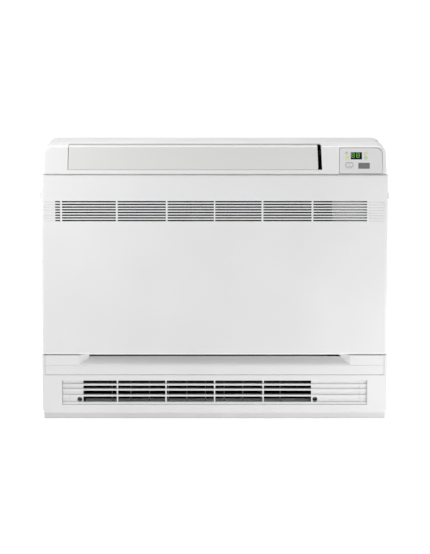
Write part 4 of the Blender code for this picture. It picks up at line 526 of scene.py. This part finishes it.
# The flap's white is a shade darker than the housing's, and its hinge end is black from past its visible
# edge: both are painted shade, the black one for the gap at the flap's end
FLAP_SHADED_ABS = ShadeBoxPlastic("abs_white_flap_painted_shade", "#E1E1E0", "#DEDEDD", 0.34, cloud_mm=500.0,
                          low=(0.2236, -1.0, -1.0))
# The panel is painted black behind its face round its slots: painted shade inside the slots, so that nothing
# pale shows through them
PANEL_SLOT_SHADE_ABS = ShadeBoxPlastic("abs_white_panel_slot_shade", "#EDEDED", "#E9E9E9", 0.40,
                           low=(-0.345, -0.1066, 0.4345), high=(0.2546, -0.090, 0.4825))
COVER_PALE_ABS = MouldedPlastic("abs_pale_cover", "#D9DADA", "#D2D3D3", 0.48)
SILL_ABS = MouldedPlastic("abs_pale_sill", "#E9EAEA", "#DFE0E0", 0.50, cloud_mm=60.0)
RECEIVER_PC = MouldedPlastic("polycarbonate_grey_window", "#6F7172", "#686A6B", 0.20, 1.58,
                             Grain.POLISHED, edge_mm=0.3)
BLACK_PP = MouldedPlastic("polypropylene_black", "#1B1C1D", "#232425", 0.44, 1.49, cloud_mm=60.0)
FILTER_PP = MouldedPlastic("polypropylene_filter", "#17181A", "#1E2022", 0.55, 1.49, cloud_mm=60.0)
NET_PP = MouldedPlastic("polypropylene_net", "#1C1E1F", "#242729", 0.60, 1.49, Grain.FINE_MATT,
                        cloud_mm=30.0, edge_mm=0.0)
GAUZE_PET = MouldedPlastic("polyester_black_gauze", "#060707", "#0A0B0B", 0.80, 1.45, Grain.FINE_MATT,
                           cloud_mm=30.0, edge_mm=0.0, gloss=0.05)
MOTOR_PBT = MouldedPlastic("polyester_black_motor", "#0A0B0B", "#0D0E0E", 0.70, 1.5, gloss=0.1)
GREEN_LENS = TintedLens("lens_green", "#B3D398", "#B5DA98", 0.14)
AMBER_LENS = TintedLens("lens_amber", "#DCDC7E", "#E2E07A", 0.14)
DIGIT_GLOW = TintedLens("digit_green", "#6CC24A", "#78D052", 1.15)
ACRYLIC = SmokedAcrylic()
ZINC = GalvanisedSheet()
# Plated screws have much smaller crystals than sheet from a zinc bath
SCREW_STEEL = GalvanisedSheet("steel_zinc_screw", "#9A9C9E", "#8A8C8E", 0.40, 2.0)
FOIL = RolledFoil()
COPPER = DrawnCopper()
BRASS = TurnedBrass()
BOARD = SolderMask()
FOAM = BeadFoam()
# Grey ink prints the button's mark and also paints shade round and under the button
GREY_INK_AND_SHADE = ScreenInkAndShade("ink_grey_print_and_painted_shade", "#A3A7AA", "#9A9EA1")
RIM_INK = ScreenInkAndShade("ink_pale_rim", "#BAC7D3", "#B2C0CD")
BEZEL_INK = ScreenInkAndShade("ink_white_bezel", "#EAEAEA", "#E2E2E2")


@cache
def material(finish: Finish) -> bpy.types.Material:
    """The finish's material, made on first use.

    Args:
        finish: Finish to look up.

    Returns:
        Its material.
    """
    surface = Surface(finish)
    finish.apply_to(surface)
    return surface.material


# Outlines and shapes

def arc(centre: Spot, radius: float, start: float, turn: float, steps: int) -> list[Spot]:
    """Points along an arc, with both its ends.

    Args:
        centre: Its middle.
        radius: Its radius.
        start: Angle of its first point in degrees.
        turn: Angle from its first point to its last in degrees.
        steps: Number of stretches between its points.

    Returns:
        Its points, in the plane of its middle's two numbers.
    """
    angles = (math.radians(start + turn * k / steps) for k in range(steps + 1))
    return [(centre[0] + radius * math.cos(angle), centre[1] + radius * math.sin(angle))
            for angle in angles]


def circle(centre: Spot, radius: float, sides: int = 24) -> list[Spot]:
    """Corners of a many-sided circle, the first to the right of its middle."""
    return arc(centre, radius, 0, 360, sides)[:-1]


def rounded_rectangle(centre: Spot, width: float, height: float, radius: float,
                      steps: int = 5) -> list[Spot]:
    """Corners of a rectangle with round corners.

    Args:
        centre: Middle as (x, z).
        width: Full width.
        height: Full height.
        radius: Corner radius.
        steps: Stretches of each corner.

    Returns:
        Points as (x, z), counter-clockwise from the lower right.
    """
    points = []
    for start, (sx, sz) in zip((-90, 0, 90, 180), ((1, -1), (1, 1), (-1, 1), (-1, -1))):
        corner = (centre[0] + sx * (width / 2 - radius), centre[1] + sz * (height / 2 - radius))
        points += arc(corner, radius, start, 90, steps)
    return points


def front_middle(node: str) -> Spot:
    """The middle of a CAD node as (x, z), seen from the front."""
    low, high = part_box(node)
    return (low.x + high.x) / 2, (low.z + high.z) / 2


def placed(name: str, data: bpy.types.ID) -> bpy.types.Object:
    """Add an object to the scene.

    Args:
        name: The object's name.
        data: Its mesh, lamp or camera.

    Returns:
        The new object.
    """
    made = bpy.data.objects.new(name, data)
    bpy.context.scene.collection.objects.link(made)
    return made


class Shape:
    """One mesh that is put together from simple solids in the cabinet's frame."""

    def __init__(self) -> None:
        """Start empty."""
        self.mesh = bmesh.new()

    def loop(self, points: Iterable[Point]) -> list[bmesh.types.BMVert]:
        """Add loose corners at the points."""
        return [self.mesh.verts.new(point) for point in points]

    def walls(self, a: list[bmesh.types.BMVert], b: list[bmesh.types.BMVert]) -> None:
        """Join two closed loops of corners by a band of faces."""
        for i in range(len(a)):
            self.mesh.faces.new((a[i - 1], a[i], b[i], b[i - 1]))

    def prism(self, near: Iterable[Point], far: Iterable[Point]) -> Shape:
        """Add a solid between two alike outlines.

        Args:
            near: Corners of one end.
            far: Corners of the other end, in the same order.

        Returns:
            This shape.
        """
        ends = self.loop(near), self.loop(far)
        for end in ends:
            self.mesh.faces.new(end)
        self.walls(*ends)
        return self

    def plate(self, outline: Outline, front: float, back: float) -> Shape:
        """Add a plate that faces the front, from its outline in (x, z) and the y of both faces."""
        return self.prism([(x, front, z) for x, z in outline], [(x, back, z) for x, z in outline])

    def bar(self, profile: Outline, left: float, right: float) -> Shape:
        """Add a bar across the cabinet, from its section in (y, z) and the x of both ends."""
        return self.prism([(left, y, z) for y, z in profile], [(right, y, z) for y, z in profile])

    def block(self, low: Point, high: Point) -> Shape:
        """Add a box between its lowest and its highest corner."""
        (left, front, bottom), (right, back, top) = low, high
        return self.plate(((left, bottom), (right, bottom), (right, top), (left, top)), front, back)

    def ring(self, outer: Outline, inner: Outline, front: float, back: float) -> Shape:
        """Add a flat ring between two outlines with the same number of corners.

        Args:
            outer: Outer corners as (x, z).
            inner: Inner corners as (x, z).
            front: Its face's y.
            back: Its back's y.

        Returns:
            This shape.
        """
        loops = [self.loop((x, y, z) for x, z in outline)
                 for outline, y in ((outer, front), (inner, front), (inner, back), (outer, back))]
        for a, b in zip(loops, loops[1:] + loops[:1]):
            self.walls(a, b)
        return self

    def turned(self, profile: Outline, centre: Point) -> Shape:
        """Add a piece turned about an axis along Y through its centre.

        Args:
            profile: Points as (radius, y) from the front to the back, with y from the centre.
            centre: Where the axis passes and where y is 0.

        Returns:
            This shape.
        """
        loops = [self.loop((x, centre[1] + y, z) for x, z in circle((centre[0], centre[2]), radius))
                 for radius, y in profile]
        for a, b in zip(loops, loops[1:]):
            self.walls(a, b)
        return self

    def finished(self, name: str) -> bpy.types.Object:
        """Turn the shape into an object.

        Args:
            name: The object's name.

        Returns:
            The new object, linked to the scene.
        """
        bmesh.ops.recalc_face_normals(self.mesh, faces=self.mesh.faces)
        data = bpy.data.meshes.new(name)
        self.mesh.to_mesh(data)
        self.mesh.free()
        return placed(name, data)


class SmoothShading:
    """Shades faces that meet at a small angle as one curved face, with modifiers alone."""

    limit_degrees = 35.0
    weld = 0.01 * MM

    def __init__(self) -> None:
        """Build the node group that marks edges sharp or smooth by their angle."""
        group = bpy.data.node_groups.new("smooth_within_angle", "GeometryNodeTree")
        for way in ("INPUT", "OUTPUT"):
            group.interface.new_socket("Geometry", in_out=way, socket_type="NodeSocketGeometry")
        start = add_node(group, "NodeGroupInput")
        shape = add_node(group, "GeometryNodeMergeByDistance", {"Distance": self.weld},
                         {0: start.outputs[0]})
        for domain in ("FACE", "EDGE"):
            shape = add_node(group, "GeometryNodeSetShadeSmooth", {2: True}, {0: shape.outputs[0]},
                             domain=domain)
        angle = add_node(group, "GeometryNodeInputMeshEdgeAngle")
        sharp = add_node(group, "FunctionNodeCompare", {1: math.radians(self.limit_degrees)},
                         {0: angle.outputs[0]}, data_type="FLOAT", operation="GREATER_THAN")
        split = add_node(group, "GeometryNodeSetShadeSmooth", {2: False},
                         {0: shape.outputs[0], 1: sharp.outputs[0]}, domain="EDGE")
        add_node(group, "NodeGroupOutput", None, {0: split.outputs[0]})
        self.group = group

    def apply_to(self, obj: bpy.types.Object) -> None:
        """Put the shading on a mesh object."""
        obj.modifiers.new("smooth_within_angle", "NODES").node_group = self.group
        obj.modifiers.new("even_normals", "WEIGHTED_NORMAL").keep_sharp = True


# Sub-assemblies

@dataclass
class SubAssembly:
    """Pieces that belong together, dressed and added to in one place."""

    nodes: dict[str, bpy.types.Object]
    shading: SmoothShading
    done: list[str] = field(default_factory=list)

    def dress(self, finish: Finish, *names: str) -> None:
        """Give CAD nodes a finish and smooth shading.

        Args:
            finish: Finish of the nodes.
            *names: Names of the nodes.
        """
        for name in names:
            node = self.nodes[name]
            for slot in node.material_slots:
                slot.material = material(finish)
            self.shading.apply_to(node)
            self.done.append(name)

    def add(self, name: str, shape: Shape, finish: Finish, slot: str, body: str = "cabinet",
            smooth: bool = False) -> bpy.types.Object:
        """Add a new piece that rides on a body.

        Args:
            name: Name of the piece.
            shape: Its shape.
            finish: Its finish.
            slot: Material slot of the record that the finish belongs to; not used.
            body: Body that it rides on.
            smooth: Whether small angles are shaded as curves.

        Returns:
            The new object.
        """
        made = shape.finished(name)
        made.data.materials.append(material(finish))
        if smooth:
            self.shading.apply_to(made)
        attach(made, body)
        self.done.append(name)
        return made

    def build(self) -> None:
        """Dress the nodes and add the finer pieces."""
        raise NotImplementedError


@dataclass
class Cabinet(SubAssembly):
    """The white mouldings of the case, its plinth and the steel plate on the wall side."""

    def build(self) -> None:
        """Dress the case and the plate."""
        self.dress(HOUSING_ABS, "front_housing")
        self.dress(WHITE_ABS, "intake_trim")
        # Painted shade: the plinth is a darker, warmer white than the case
        self.dress(PLINTH_SHADED_ABS, "base_tray")
        self.dress(REAR_ABS, "rear_chassis")
        self.dress(ZINC, "mounting_plate")


@dataclass
class FrontPanel(SubAssembly):
    """The slotted panel with black gauze behind its slots, its pins and its two release tabs."""

    gauze_left: float = -0.3365
    gauze_right: float = 0.2546
    gauze_bottom: float = 0.4335
    gauze_top: float = 0.4835
    gauze_front: float = -0.1033
    # Real gauze has threads 0.2 mm thick; these are coarser, and still let air and light through
    thread: float = 0.6 * MM
    thread_pitch: float = 1.2 * MM
    border: float = 1.2 * MM

    def gauze(self) -> Shape:
        """Crossing threads behind the slots, as far as the electrical cover.

        Returns:
            The gauze as one shape.
        """
        shape = Shape()
        front, back = self.gauze_front, self.gauze_front + self.thread
        left, right, bottom, top = self.gauze_left, self.gauze_right, self.gauze_bottom, self.gauze_top
        for low, high in ((bottom, bottom + self.border), (top - self.border, top)):
            shape.block((left, front, low), (right, back, high))
        for i in range(int((right - left) / self.thread_pitch)):
            x = left + i * self.thread_pitch
            shape.block((x, front, bottom), (x + self.thread, back, top))
        for i in range(1, int((top - bottom) / self.thread_pitch)):
            z = bottom + i * self.thread_pitch
            shape.block((left, front, z), (right, back, z + self.thread))
        return shape

    def build(self) -> None:
        """Dress the panel, its pins and tabs, and hang the gauze."""
        # The panel's material paints shade inside its slots
        self.dress(PANEL_SLOT_SHADE_ABS, "front_panel")
        self.dress(WHITE_ABS, "latch_left", "latch_right")
        self.dress(ZINC, "panel_pin_left", "panel_pin_right")
        self.add("slot_gauze", self.gauze(), GAUZE_PET, "black_abs", "front_panel")


@dataclass
class TopOutlet(SubAssembly):
    """The flap over the top outlet with its motor, the vanes in it and the upper duct."""

    vanes: int = 6

    def build(self) -> None:
        """Dress the outlet."""
        # The flap's material carries painted shade: a darker white and a black hinge end
        self.dress(FLAP_SHADED_ABS, "top_louvre")
        self.dress(DUCT_ABS, "upper_duct", "vane_carrier", "vane_link",
                   *[f"air_vane_{i + 1}" for i in range(self.vanes)])
        self.dress(MOTOR_PBT, "louvre_motor")


@dataclass
class ControlCorner(SubAssembly):
    """The cover with its display, lamps, button and receiver."""

    ink: float = 0.04 * MM
    digit_width: float = 6.2 * MM
    digit_height: float = 10.0 * MM
    digit_gap: float = 4.6 * MM
    digits_shift: float = -1.9 * MM
    digits_lift: float = 1.4 * MM
    stroke: float = 0.5 * MM
    stroke_gap: float = 0.12 * MM
    bezel: float = 0.8 * MM
    bezel_corner: float = 0.3 * MM
    # The grey ring on the button's face is painted shade of the gap round the button
    button_shade_line: float = 0.9 * MM
    button_shade_line_in: float = 1.2 * MM
    button_shade_corner: float = 2.4 * MM
    lamps: int = 4
    lamp_rim: float = 0.45 * MM
    lamp_gap: float = 0.3 * MM
    mark_radius: float = 1.4 * MM
    mark_line: float = 0.6 * MM
    mark_start_degrees: float = 130.0
    mark_turn_degrees: float = 280.0
    mark_steps: int = 20
    # Where the mark's bar starts and ends above its middle, in radii of the mark
    mark_bar: Spot = (0.2, 1.2)
    # Sizes inside the grey line under the button, a painted shadow that stands for a small lip
    lip_shadow_width: float = 10.2 * MM
    lip_shadow_height: float = 1.0 * MM
    lip_shadow_corner: float = 0.391 * MM
    lip_shadow_line: float = 0.7 * MM

    def segment(self, start: Spot, end: Spot) -> list[Spot]:
        """The long hexagon of one bar of a digit.

        Args:
            start: One end of the bar as (x, z).
            end: The other end.

        Returns:
            Its corners as (x, z).
        """
        (x0, z0), (x1, z1) = start, end
        length = math.hypot(x1 - x0, z1 - z0)
        ux, uz = (x1 - x0) / length, (z1 - z0) / length
        near, far, half = self.stroke_gap, length - self.stroke_gap, self.stroke / 2
        corners = [(near, 0.0), (near + half, -half), (far - half, -half), (far, 0.0),
                   (far - half, half), (near + half, half)]
        return [(x0 + ux * a - uz * b, z0 + uz * a + ux * b) for a, b in corners]

    def digits(self) -> Shape:
        """Both digits of the display, with all seven bars of each lit.

        Returns:
            One shape with fourteen bars.
        """
        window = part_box("display_module")[0].y
        middle_x, middle_z = front_middle("display_module")
        z = middle_z + self.digits_lift
        reach = (self.digit_width - self.stroke) / 2
        tall = (self.digit_height - self.stroke) / 2
        bars = [((-1, j), (1, j)) for j in (-1, 0, 1)]
        bars += [((i, j), (i, j + 1)) for i in (-1, 1) for j in (-1, 0)]
        shape = Shape()
        for side in (-1, 1):
            x = middle_x + self.digits_shift + side * (self.digit_width + self.digit_gap) / 2
            for bar in bars:
                start, end = ((x + i * reach, z + j * tall) for i, j in bar)
                shape.plate(self.segment(start, end), window - self.ink, window + self.ink)
        return shape

    def print_and_shade_ring(self, outer: Outline, inner: Outline, face: float) -> Shape:
        """A closed line of ink between two outlines, on the surface at the given y, for print and for painted
        shade.
        """
        return Shape().ring(outer, inner, face - self.ink, face + self.ink / 2)

    def frame(self, centre: Spot, size: Spot, corner: float, line: float, face: float) -> Shape:
        """A line of ink round a rectangle with round corners: print, and painted shade round and under the
        button.

        Args:
            centre: Middle as (x, z).
            size: Width and height inside the line.
            corner: Corner radius inside the line.
            line: Width of the line.
            face: The y of the surface that carries the ink.

        Returns:
            The frame's shape.
        """
        outer, inner = (rounded_rectangle(centre, size[0] + 2 * grow, size[1] + 2 * grow, corner + grow)
                        for grow in (line, 0.0))
        return self.print_and_shade_ring(outer, inner, face)

    def button_mark(self) -> Shape:
        """The open ring with a bar that stands for switching on and off.

        Returns:
            The mark's shape.
        """
        x, z = front_middle("power_button")
        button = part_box("power_button")[0].y
        face, back = button - self.ink, button + self.ink / 2
        half = self.mark_line / 2
        inner, outer = (arc((x, z), radius, self.mark_start_degrees, self.mark_turn_degrees, self.mark_steps)
                        for radius in (self.mark_radius - half, self.mark_radius + half))
        shape = Shape()
        for i in range(self.mark_steps):
            shape.plate([*inner[i:i + 2], outer[i + 1], outer[i]], face, back)
        bottom, top = (z + share * self.mark_radius for share in self.mark_bar)
        return shape.block((x - half, face, bottom), (x + half, back, top))

    def build(self) -> None:
        """Dress the corner, print its digits, rims and mark, and paint shade round and under the button."""
        self.dress(COVER_ABS, "control_cover", "power_button")
        self.dress(ACRYLIC, "display_module")
        self.dress(RECEIVER_PC, "receiver_window")
        self.dress(GREEN_LENS, "indicator_1", "indicator_4")
        self.dress(AMBER_LENS, "indicator_2", "indicator_3")
        self.dress(BOARD, "control_board")
        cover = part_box("control_cover")[0].y
        self.add("display_digits", self.digits(), DIGIT_GLOW, "green_lens")
        low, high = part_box("display_module")
        window = front_middle("display_module")
        bezel = self.frame(window, (high.x - low.x, high.z - low.z), self.bezel_corner, self.bezel, cover)
        self.add("display_bezel", bezel, BEZEL_INK, "white_abs")
        low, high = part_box("power_button")
        inside = (high.x - low.x - 2 * self.button_shade_line_in, high.z - low.z - 2 * self.button_shade_line_in)
        button = front_middle("power_button")
        # Painted shade: a grey ring on the button's face stands for the gap round it
        outline = self.frame(button, inside, self.button_shade_corner, self.button_shade_line, low.y)
        self.add("button_outline_painted_shade", outline, GREY_INK_AND_SHADE, "grey_abs", "power_button")
        self.add("button_mark", self.button_mark(), GREY_INK_AND_SHADE, "grey_abs", "power_button")
        # Painted shadow: a grey ring under the button stands for a small lip's shadow
        lip = self.frame((button[0], low.z - self.lip_shadow_height / 2 - self.lip_shadow_line),
                         (self.lip_shadow_width, self.lip_shadow_height), self.lip_shadow_corner, self.lip_shadow_line, cover)
        self.add("button_lip_painted_shadow", lip, GREY_INK_AND_SHADE, "grey_abs")
        for i in range(1, self.lamps + 1):
            low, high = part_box(f"indicator_{i}")
            hole = (high.x - low.x) / 2 + self.lamp_gap
            outer, inner = (circle(front_middle(f"indicator_{i}"), radius)
                            for radius in (hole + self.lamp_rim, hole))
            self.add(f"lamp_rim_{i}", self.print_and_shade_ring(outer, inner, cover), RIM_INK, "grey_abs")


@dataclass
class BottomOutlet(SubAssembly):
    """The bottom grille, the guard behind it, the damper and the lower duct."""

    head_radius: float = 4.0 * MM
    head_height: float = 2.2 * MM
    # The head's side in shares of its radius and height, from its flat to its underside
    head_profile: Outline = ((0.72, -1.0), (0.92, -0.75), (1.0, -0.35), (1.0, 0.0))
    recess_reach: float = 2.2 * MM
    recess_half: float = 0.5 * MM
    recess_depth: float = 1.3 * MM
    recess_taper: float = 0.6
    shank_radius: float = 1.8 * MM
    shank_length: float = 9.0 * MM
    tip_radius: float = 0.2 * MM
    tip_length: float = 1.0 * MM
    weld: float = 0.001 * MM
    sill_ends: Spot = (-0.2835, 0.2095)
    sill_profile: Outline = ((-0.0797, 0.0343), (-0.0797, 0.0350), (-0.0710, 0.0395), (-0.0700, 0.0395),
                             (-0.0700, 0.0343))

    def cross(self) -> list[Spot]:
        """Outline of the screw's recess: one arm, turned three times.

        Returns:
            Its corners as (x, z) from the recess's middle.
        """
        corners = [(self.recess_reach, -self.recess_half), (self.recess_reach, self.recess_half),
                   (self.recess_half, self.recess_half)]
        for _ in range(3):
            corners += [(-z, x) for x, z in corners[-3:]]
        return corners

    def screw(self, centre: Point) -> Shape:
        """A pan head screw with a cross recess that faces the front.

        Args:
            centre: Middle of the head's underside.

        Returns:
            The screw's shape.
        """
        x, y, z = centre
        head = [(r * self.head_radius, h * self.head_height) for r, h in self.head_profile]
        shank = [(self.shank_radius, 0.0), (self.shank_radius, self.shank_length),
                 (self.tip_radius, self.shank_length + self.tip_length)]
        shape = Shape().turned(head + shank, centre)
        mesh = shape.mesh
        face = y - self.head_height
        rim = shape.loop((a, face, b) for a, b in circle((x, z), head[0][0]))
        lip = shape.loop((x + a, face, z + b) for a, b in self.cross())
        edges = [mesh.edges.new((a, b)) for loop in (rim, lip) for a, b in zip(loop, loop[1:] + loop[:1])]
        bmesh.ops.triangle_fill(mesh, use_beauty=True, use_dissolve=False, edges=edges)
        floor = shape.loop((x + a * self.recess_taper, face + self.recess_depth, z + b * self.recess_taper)
                           for a, b in self.cross())
        shape.walls(lip, floor)
        mesh.faces.new(floor)
        bmesh.ops.remove_doubles(mesh, verts=mesh.verts, dist=self.weld)
        return shape

    def build(self) -> None:
        """Dress the outlet, lay its sill and put in its two screws."""
        self.dress(WHITE_ABS, "lower_grille")
        self.dress(GUARD_ABS, "lower_guard")
        self.dress(DUCT_ABS, "lower_duct", "lower_damper")
        self.dress(ZINC, "damper_motor")
        self.add("duct_sill", Shape().bar(self.sill_profile, *self.sill_ends), SILL_ABS, "grey_abs")
        for name in ("grille_screw_left", "grille_screw_right"):
            x, z = front_middle(name)
            screw = self.screw((x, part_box(name)[0].y + self.head_height, z))
            piece = self.add(f"{name}_cross", screw, SCREW_STEEL, "black_abs", smooth=True)
            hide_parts(name)


@dataclass
class FanSet(SubAssembly):
    """The fan, its motor and bracket, its casing and the bell mouth in front of it."""

    def build(self) -> None:
        """Dress the fan and what is round it."""
        self.dress(BLACK_PP, "turbo_fan")
        self.dress(DUCT_ABS, "fan_casing", "bell_mouth")
        self.dress(ZINC, "fan_shaft", "fan_motor", "motor_bracket")


@dataclass
class Coil(SubAssembly):
    """The heat exchanger with its fins and tubes, the pan under it, its pipes and its hose."""

    # Real fins are 0.1 mm thick and 1.4 mm apart; they are drawn coarser so that they show
    fin_pitch: float = 2.8 * MM
    fin_thickness: float = 0.5 * MM
    tube_radius: float = 4.5 * MM
    tube_sides: int = 10
    tube_rows: int = 8
    tube_columns: int = 2

    def fins(self) -> Shape:
        """Upright fins from one end of the coil to the other.

        Returns:
            The fins as one shape.
        """
        low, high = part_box("evaporator_fins")
        shape = Shape()
        count = int((high.x - low.x - self.fin_thickness) / self.fin_pitch)
        for i in range(count + 1):
            x = low.x + i * self.fin_pitch
            shape.block((x, low.y, low.z), (x + self.fin_thickness, high.y, high.z))
        return shape

    def tubes(self) -> Shape:
        """The tubes that run through the fins from end plate to end plate.

        Returns:
            The tubes as one shape.
        """
        low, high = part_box("evaporator_fins")
        shape = Shape()
        for row in range(self.tube_rows):
            z = low.z + (row + 0.5) * (high.z - low.z) / self.tube_rows
            for column in range(self.tube_columns):
                y = low.y + (column + 0.5) * (high.y - low.y) / self.tube_columns
                shape.bar(circle((y, z), self.tube_radius, self.tube_sides), low.x, high.x)
        return shape

    def build(self) -> None:
        """Build the coil's fins and tubes and dress what belongs to it."""
        fins = self.add("coil_fins", self.fins(), FOIL, "aluminium")
        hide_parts("evaporator_fins")
        self.add("coil_tubes", self.tubes(), COPPER, "copper", smooth=True)
        self.dress(COPPER, "evaporator_end_left", "evaporator_end_right", "gas_pipe", "liquid_pipe",
                   "temperature_sensor")
        self.dress(BRASS, "gas_nut", "liquid_nut")
        self.dress(FOAM, "drain_pan", "drain_hose")


@dataclass
class Filters(SubAssembly):
    """The two air filters and the nets in their frames."""

    # A real net has threads 0.3 mm thick and 1 mm apart; it is drawn coarser so that it shows
    thread_pitch: float = 3.0 * MM
    thread: float = 0.6 * MM
    # The threads that run across are thinner from front to back than the upright ones
    cross_share: float = 0.8
    inset: float = 1.0 * MM

    def net(self, name: str) -> Shape:
        """Crossing threads that fill a filter's frame.

        Args:
            name: CAD node of the filter's frame.

        Returns:
            The net's shape.
        """
        low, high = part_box(name)
        middle = (low.y + high.y) / 2
        half = self.thread / 2
        thin = half * self.cross_share
        left, right = low.x + self.inset, high.x - self.inset
        bottom, top = low.z + self.inset, high.z - self.inset
        shape = Shape()
        for i in range(1, int((right - left) / self.thread_pitch)):
            x = left + i * self.thread_pitch
            shape.block((x - half, middle - half, bottom), (x + half, middle + half, top))
        for i in range(1, int((top - bottom) / self.thread_pitch)):
            z = bottom + i * self.thread_pitch
            shape.block((left, middle - thin, z - half), (right, middle + thin, z + half))
        return shape

    def build(self) -> None:
        """Dress the filters and hang their nets."""
        for side in ("left", "right"):
            name = f"filter_{side}"
            self.dress(FILTER_PP, name)
            self.add(f"filter_net_{side}", self.net(name), NET_PP, "black_abs", name)


@dataclass
class Electrics(SubAssembly):
    """The electrical box and its cover, the main board, the terminals and the cable inlet."""

    def build(self) -> None:
        """Dress the box and what it holds."""
        self.dress(COVER_PALE_ABS, "electrical_cover")
        self.dress(ZINC, "electrical_box")
        self.dress(BOARD, "circuit_board")
        self.dress(BLACK_PP, "terminal_block", "cable_gland")


# Studio

@dataclass(frozen=True)
class LitFloor(Finish):
    """Pale floor that gives back a little light of its own, as a lit cyclorama does."""

    name: str = "studio_floor"
    colour: str = "#A0A0A0"
    roughness: float = 0.85
    gloss: float = 0.1
    strength: float = 1.0

    def apply_to(self, surface: Surface) -> None:
        """Give a surface the look of the floor."""
        surface.glow(WHITE, self.strength)


@dataclass(frozen=True)
class AreaLamp:
    """One soft white light."""

    name: str
    place: Point
    aim: Point
    width: float
    height: float
    watts: float

    def hang(self) -> None:
        """Put the light in its place, turned to what it lights and unseen by the camera."""
        data = bpy.data.lights.new(self.name, "AREA")
        data.shape = "RECTANGLE"
        data.size, data.size_y = self.width, self.height
        data.energy = self.watts
        lamp = placed(self.name, data)
        lamp.location = self.place
        aim = Vector(self.aim) - Vector(self.place)
        lamp.rotation_euler = aim.to_track_quat("-Z", "Y").to_euler()
        lamp.visible_camera = False


@dataclass
class Studio:
    """Pale floor, soft light and the camera at the photograph's angle."""

    camera_place: Point = (0.00086, -6.1075, 1.164)
    pitch_degrees: float = 8.06
    focal_px: float = 2790.0
    frame_height_px: float = 554.0
    sensor_mm: float = 36.0
    sight: float = 200.0
    floor_half: float = 60.0
    sky_strength: float = 0.15
    lamps: Sequence[AreaLamp] = (
        AreaLamp("side_left", (-0.80, -0.50, 0.70), (-0.25, -0.1, 0.45), 0.3, 0.5, 2.0),
        AreaLamp("side_right", (0.80, -0.50, 0.12), (0.3, -0.1, 0.2), 0.3, 0.3, 1.58),
        AreaLamp("top_left", (-0.8, -0.1, 1.1), (-0.3, 0.0, 0.6), 0.6, 0.5, 1.9),
        AreaLamp("top_soft", (0.1, -0.1, 1.8), (0.1, 0.0, 0.6), 2.0, 0.8, 20.5),
    )

    def camera(self) -> None:
        """Place the camera as the photograph was taken."""
        data = bpy.data.cameras.new("photograph")
        data.sensor_fit = "VERTICAL"
        data.sensor_height = self.sensor_mm
        data.lens = self.focal_px / self.frame_height_px * self.sensor_mm
        data.clip_end = self.sight
        camera = placed("photograph", data)
        camera.location = self.camera_place
        camera.rotation_euler = (math.radians(90 - self.pitch_degrees), 0.0, 0.0)
        bpy.context.scene.camera = camera

    def floor(self) -> None:
        """Lay the pale floor."""
        data = bpy.data.meshes.new("studio_floor")
        corners = [(x * self.floor_half, y * self.floor_half, 0.0)
                   for x, y in ((-1, -1), (1, -1), (1, 1), (-1, 1))]
        data.from_pydata(corners, [], [(0, 1, 2, 3)])
        data.materials.append(material(LitFloor()))
        placed("studio_floor", data)

    def sky(self) -> None:
        """Light the world evenly."""
        world = bpy.data.worlds.new("white_room")
        world.use_nodes = True
        back = world.node_tree.nodes["Background"]
        back.inputs["Color"].default_value = linear(WHITE)
        back.inputs["Strength"].default_value = self.sky_strength
        bpy.context.scene.world = world

    def build(self) -> None:
        """Set up the studio."""
        bpy.context.scene.view_settings.view_transform = "Standard"
        self.camera()
        self.floor()
        for lamp in self.lamps:
            lamp.hang()
        self.sky()


def main() -> None:
    """Load the frame, set up the studio, then build each sub-assembly in order."""
    logging.basicConfig(level=logging.INFO, format="%(name)s: %(message)s")
    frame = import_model()
    studio = Studio()
    studio.build()
    LOG.info("Studio: camera, floor, %s", ", ".join(lamp.name for lamp in studio.lamps))
    shading = SmoothShading()
    for kind in (Cabinet, FrontPanel, TopOutlet, ControlCorner, BottomOutlet, FanSet, Coil, Filters,
                 Electrics):
        part = kind(frame["nodes"], shading)
        part.build()
        LOG.info("%s: %s", kind.__name__, ", ".join(part.done))


if __name__ == "__main__":
    main()
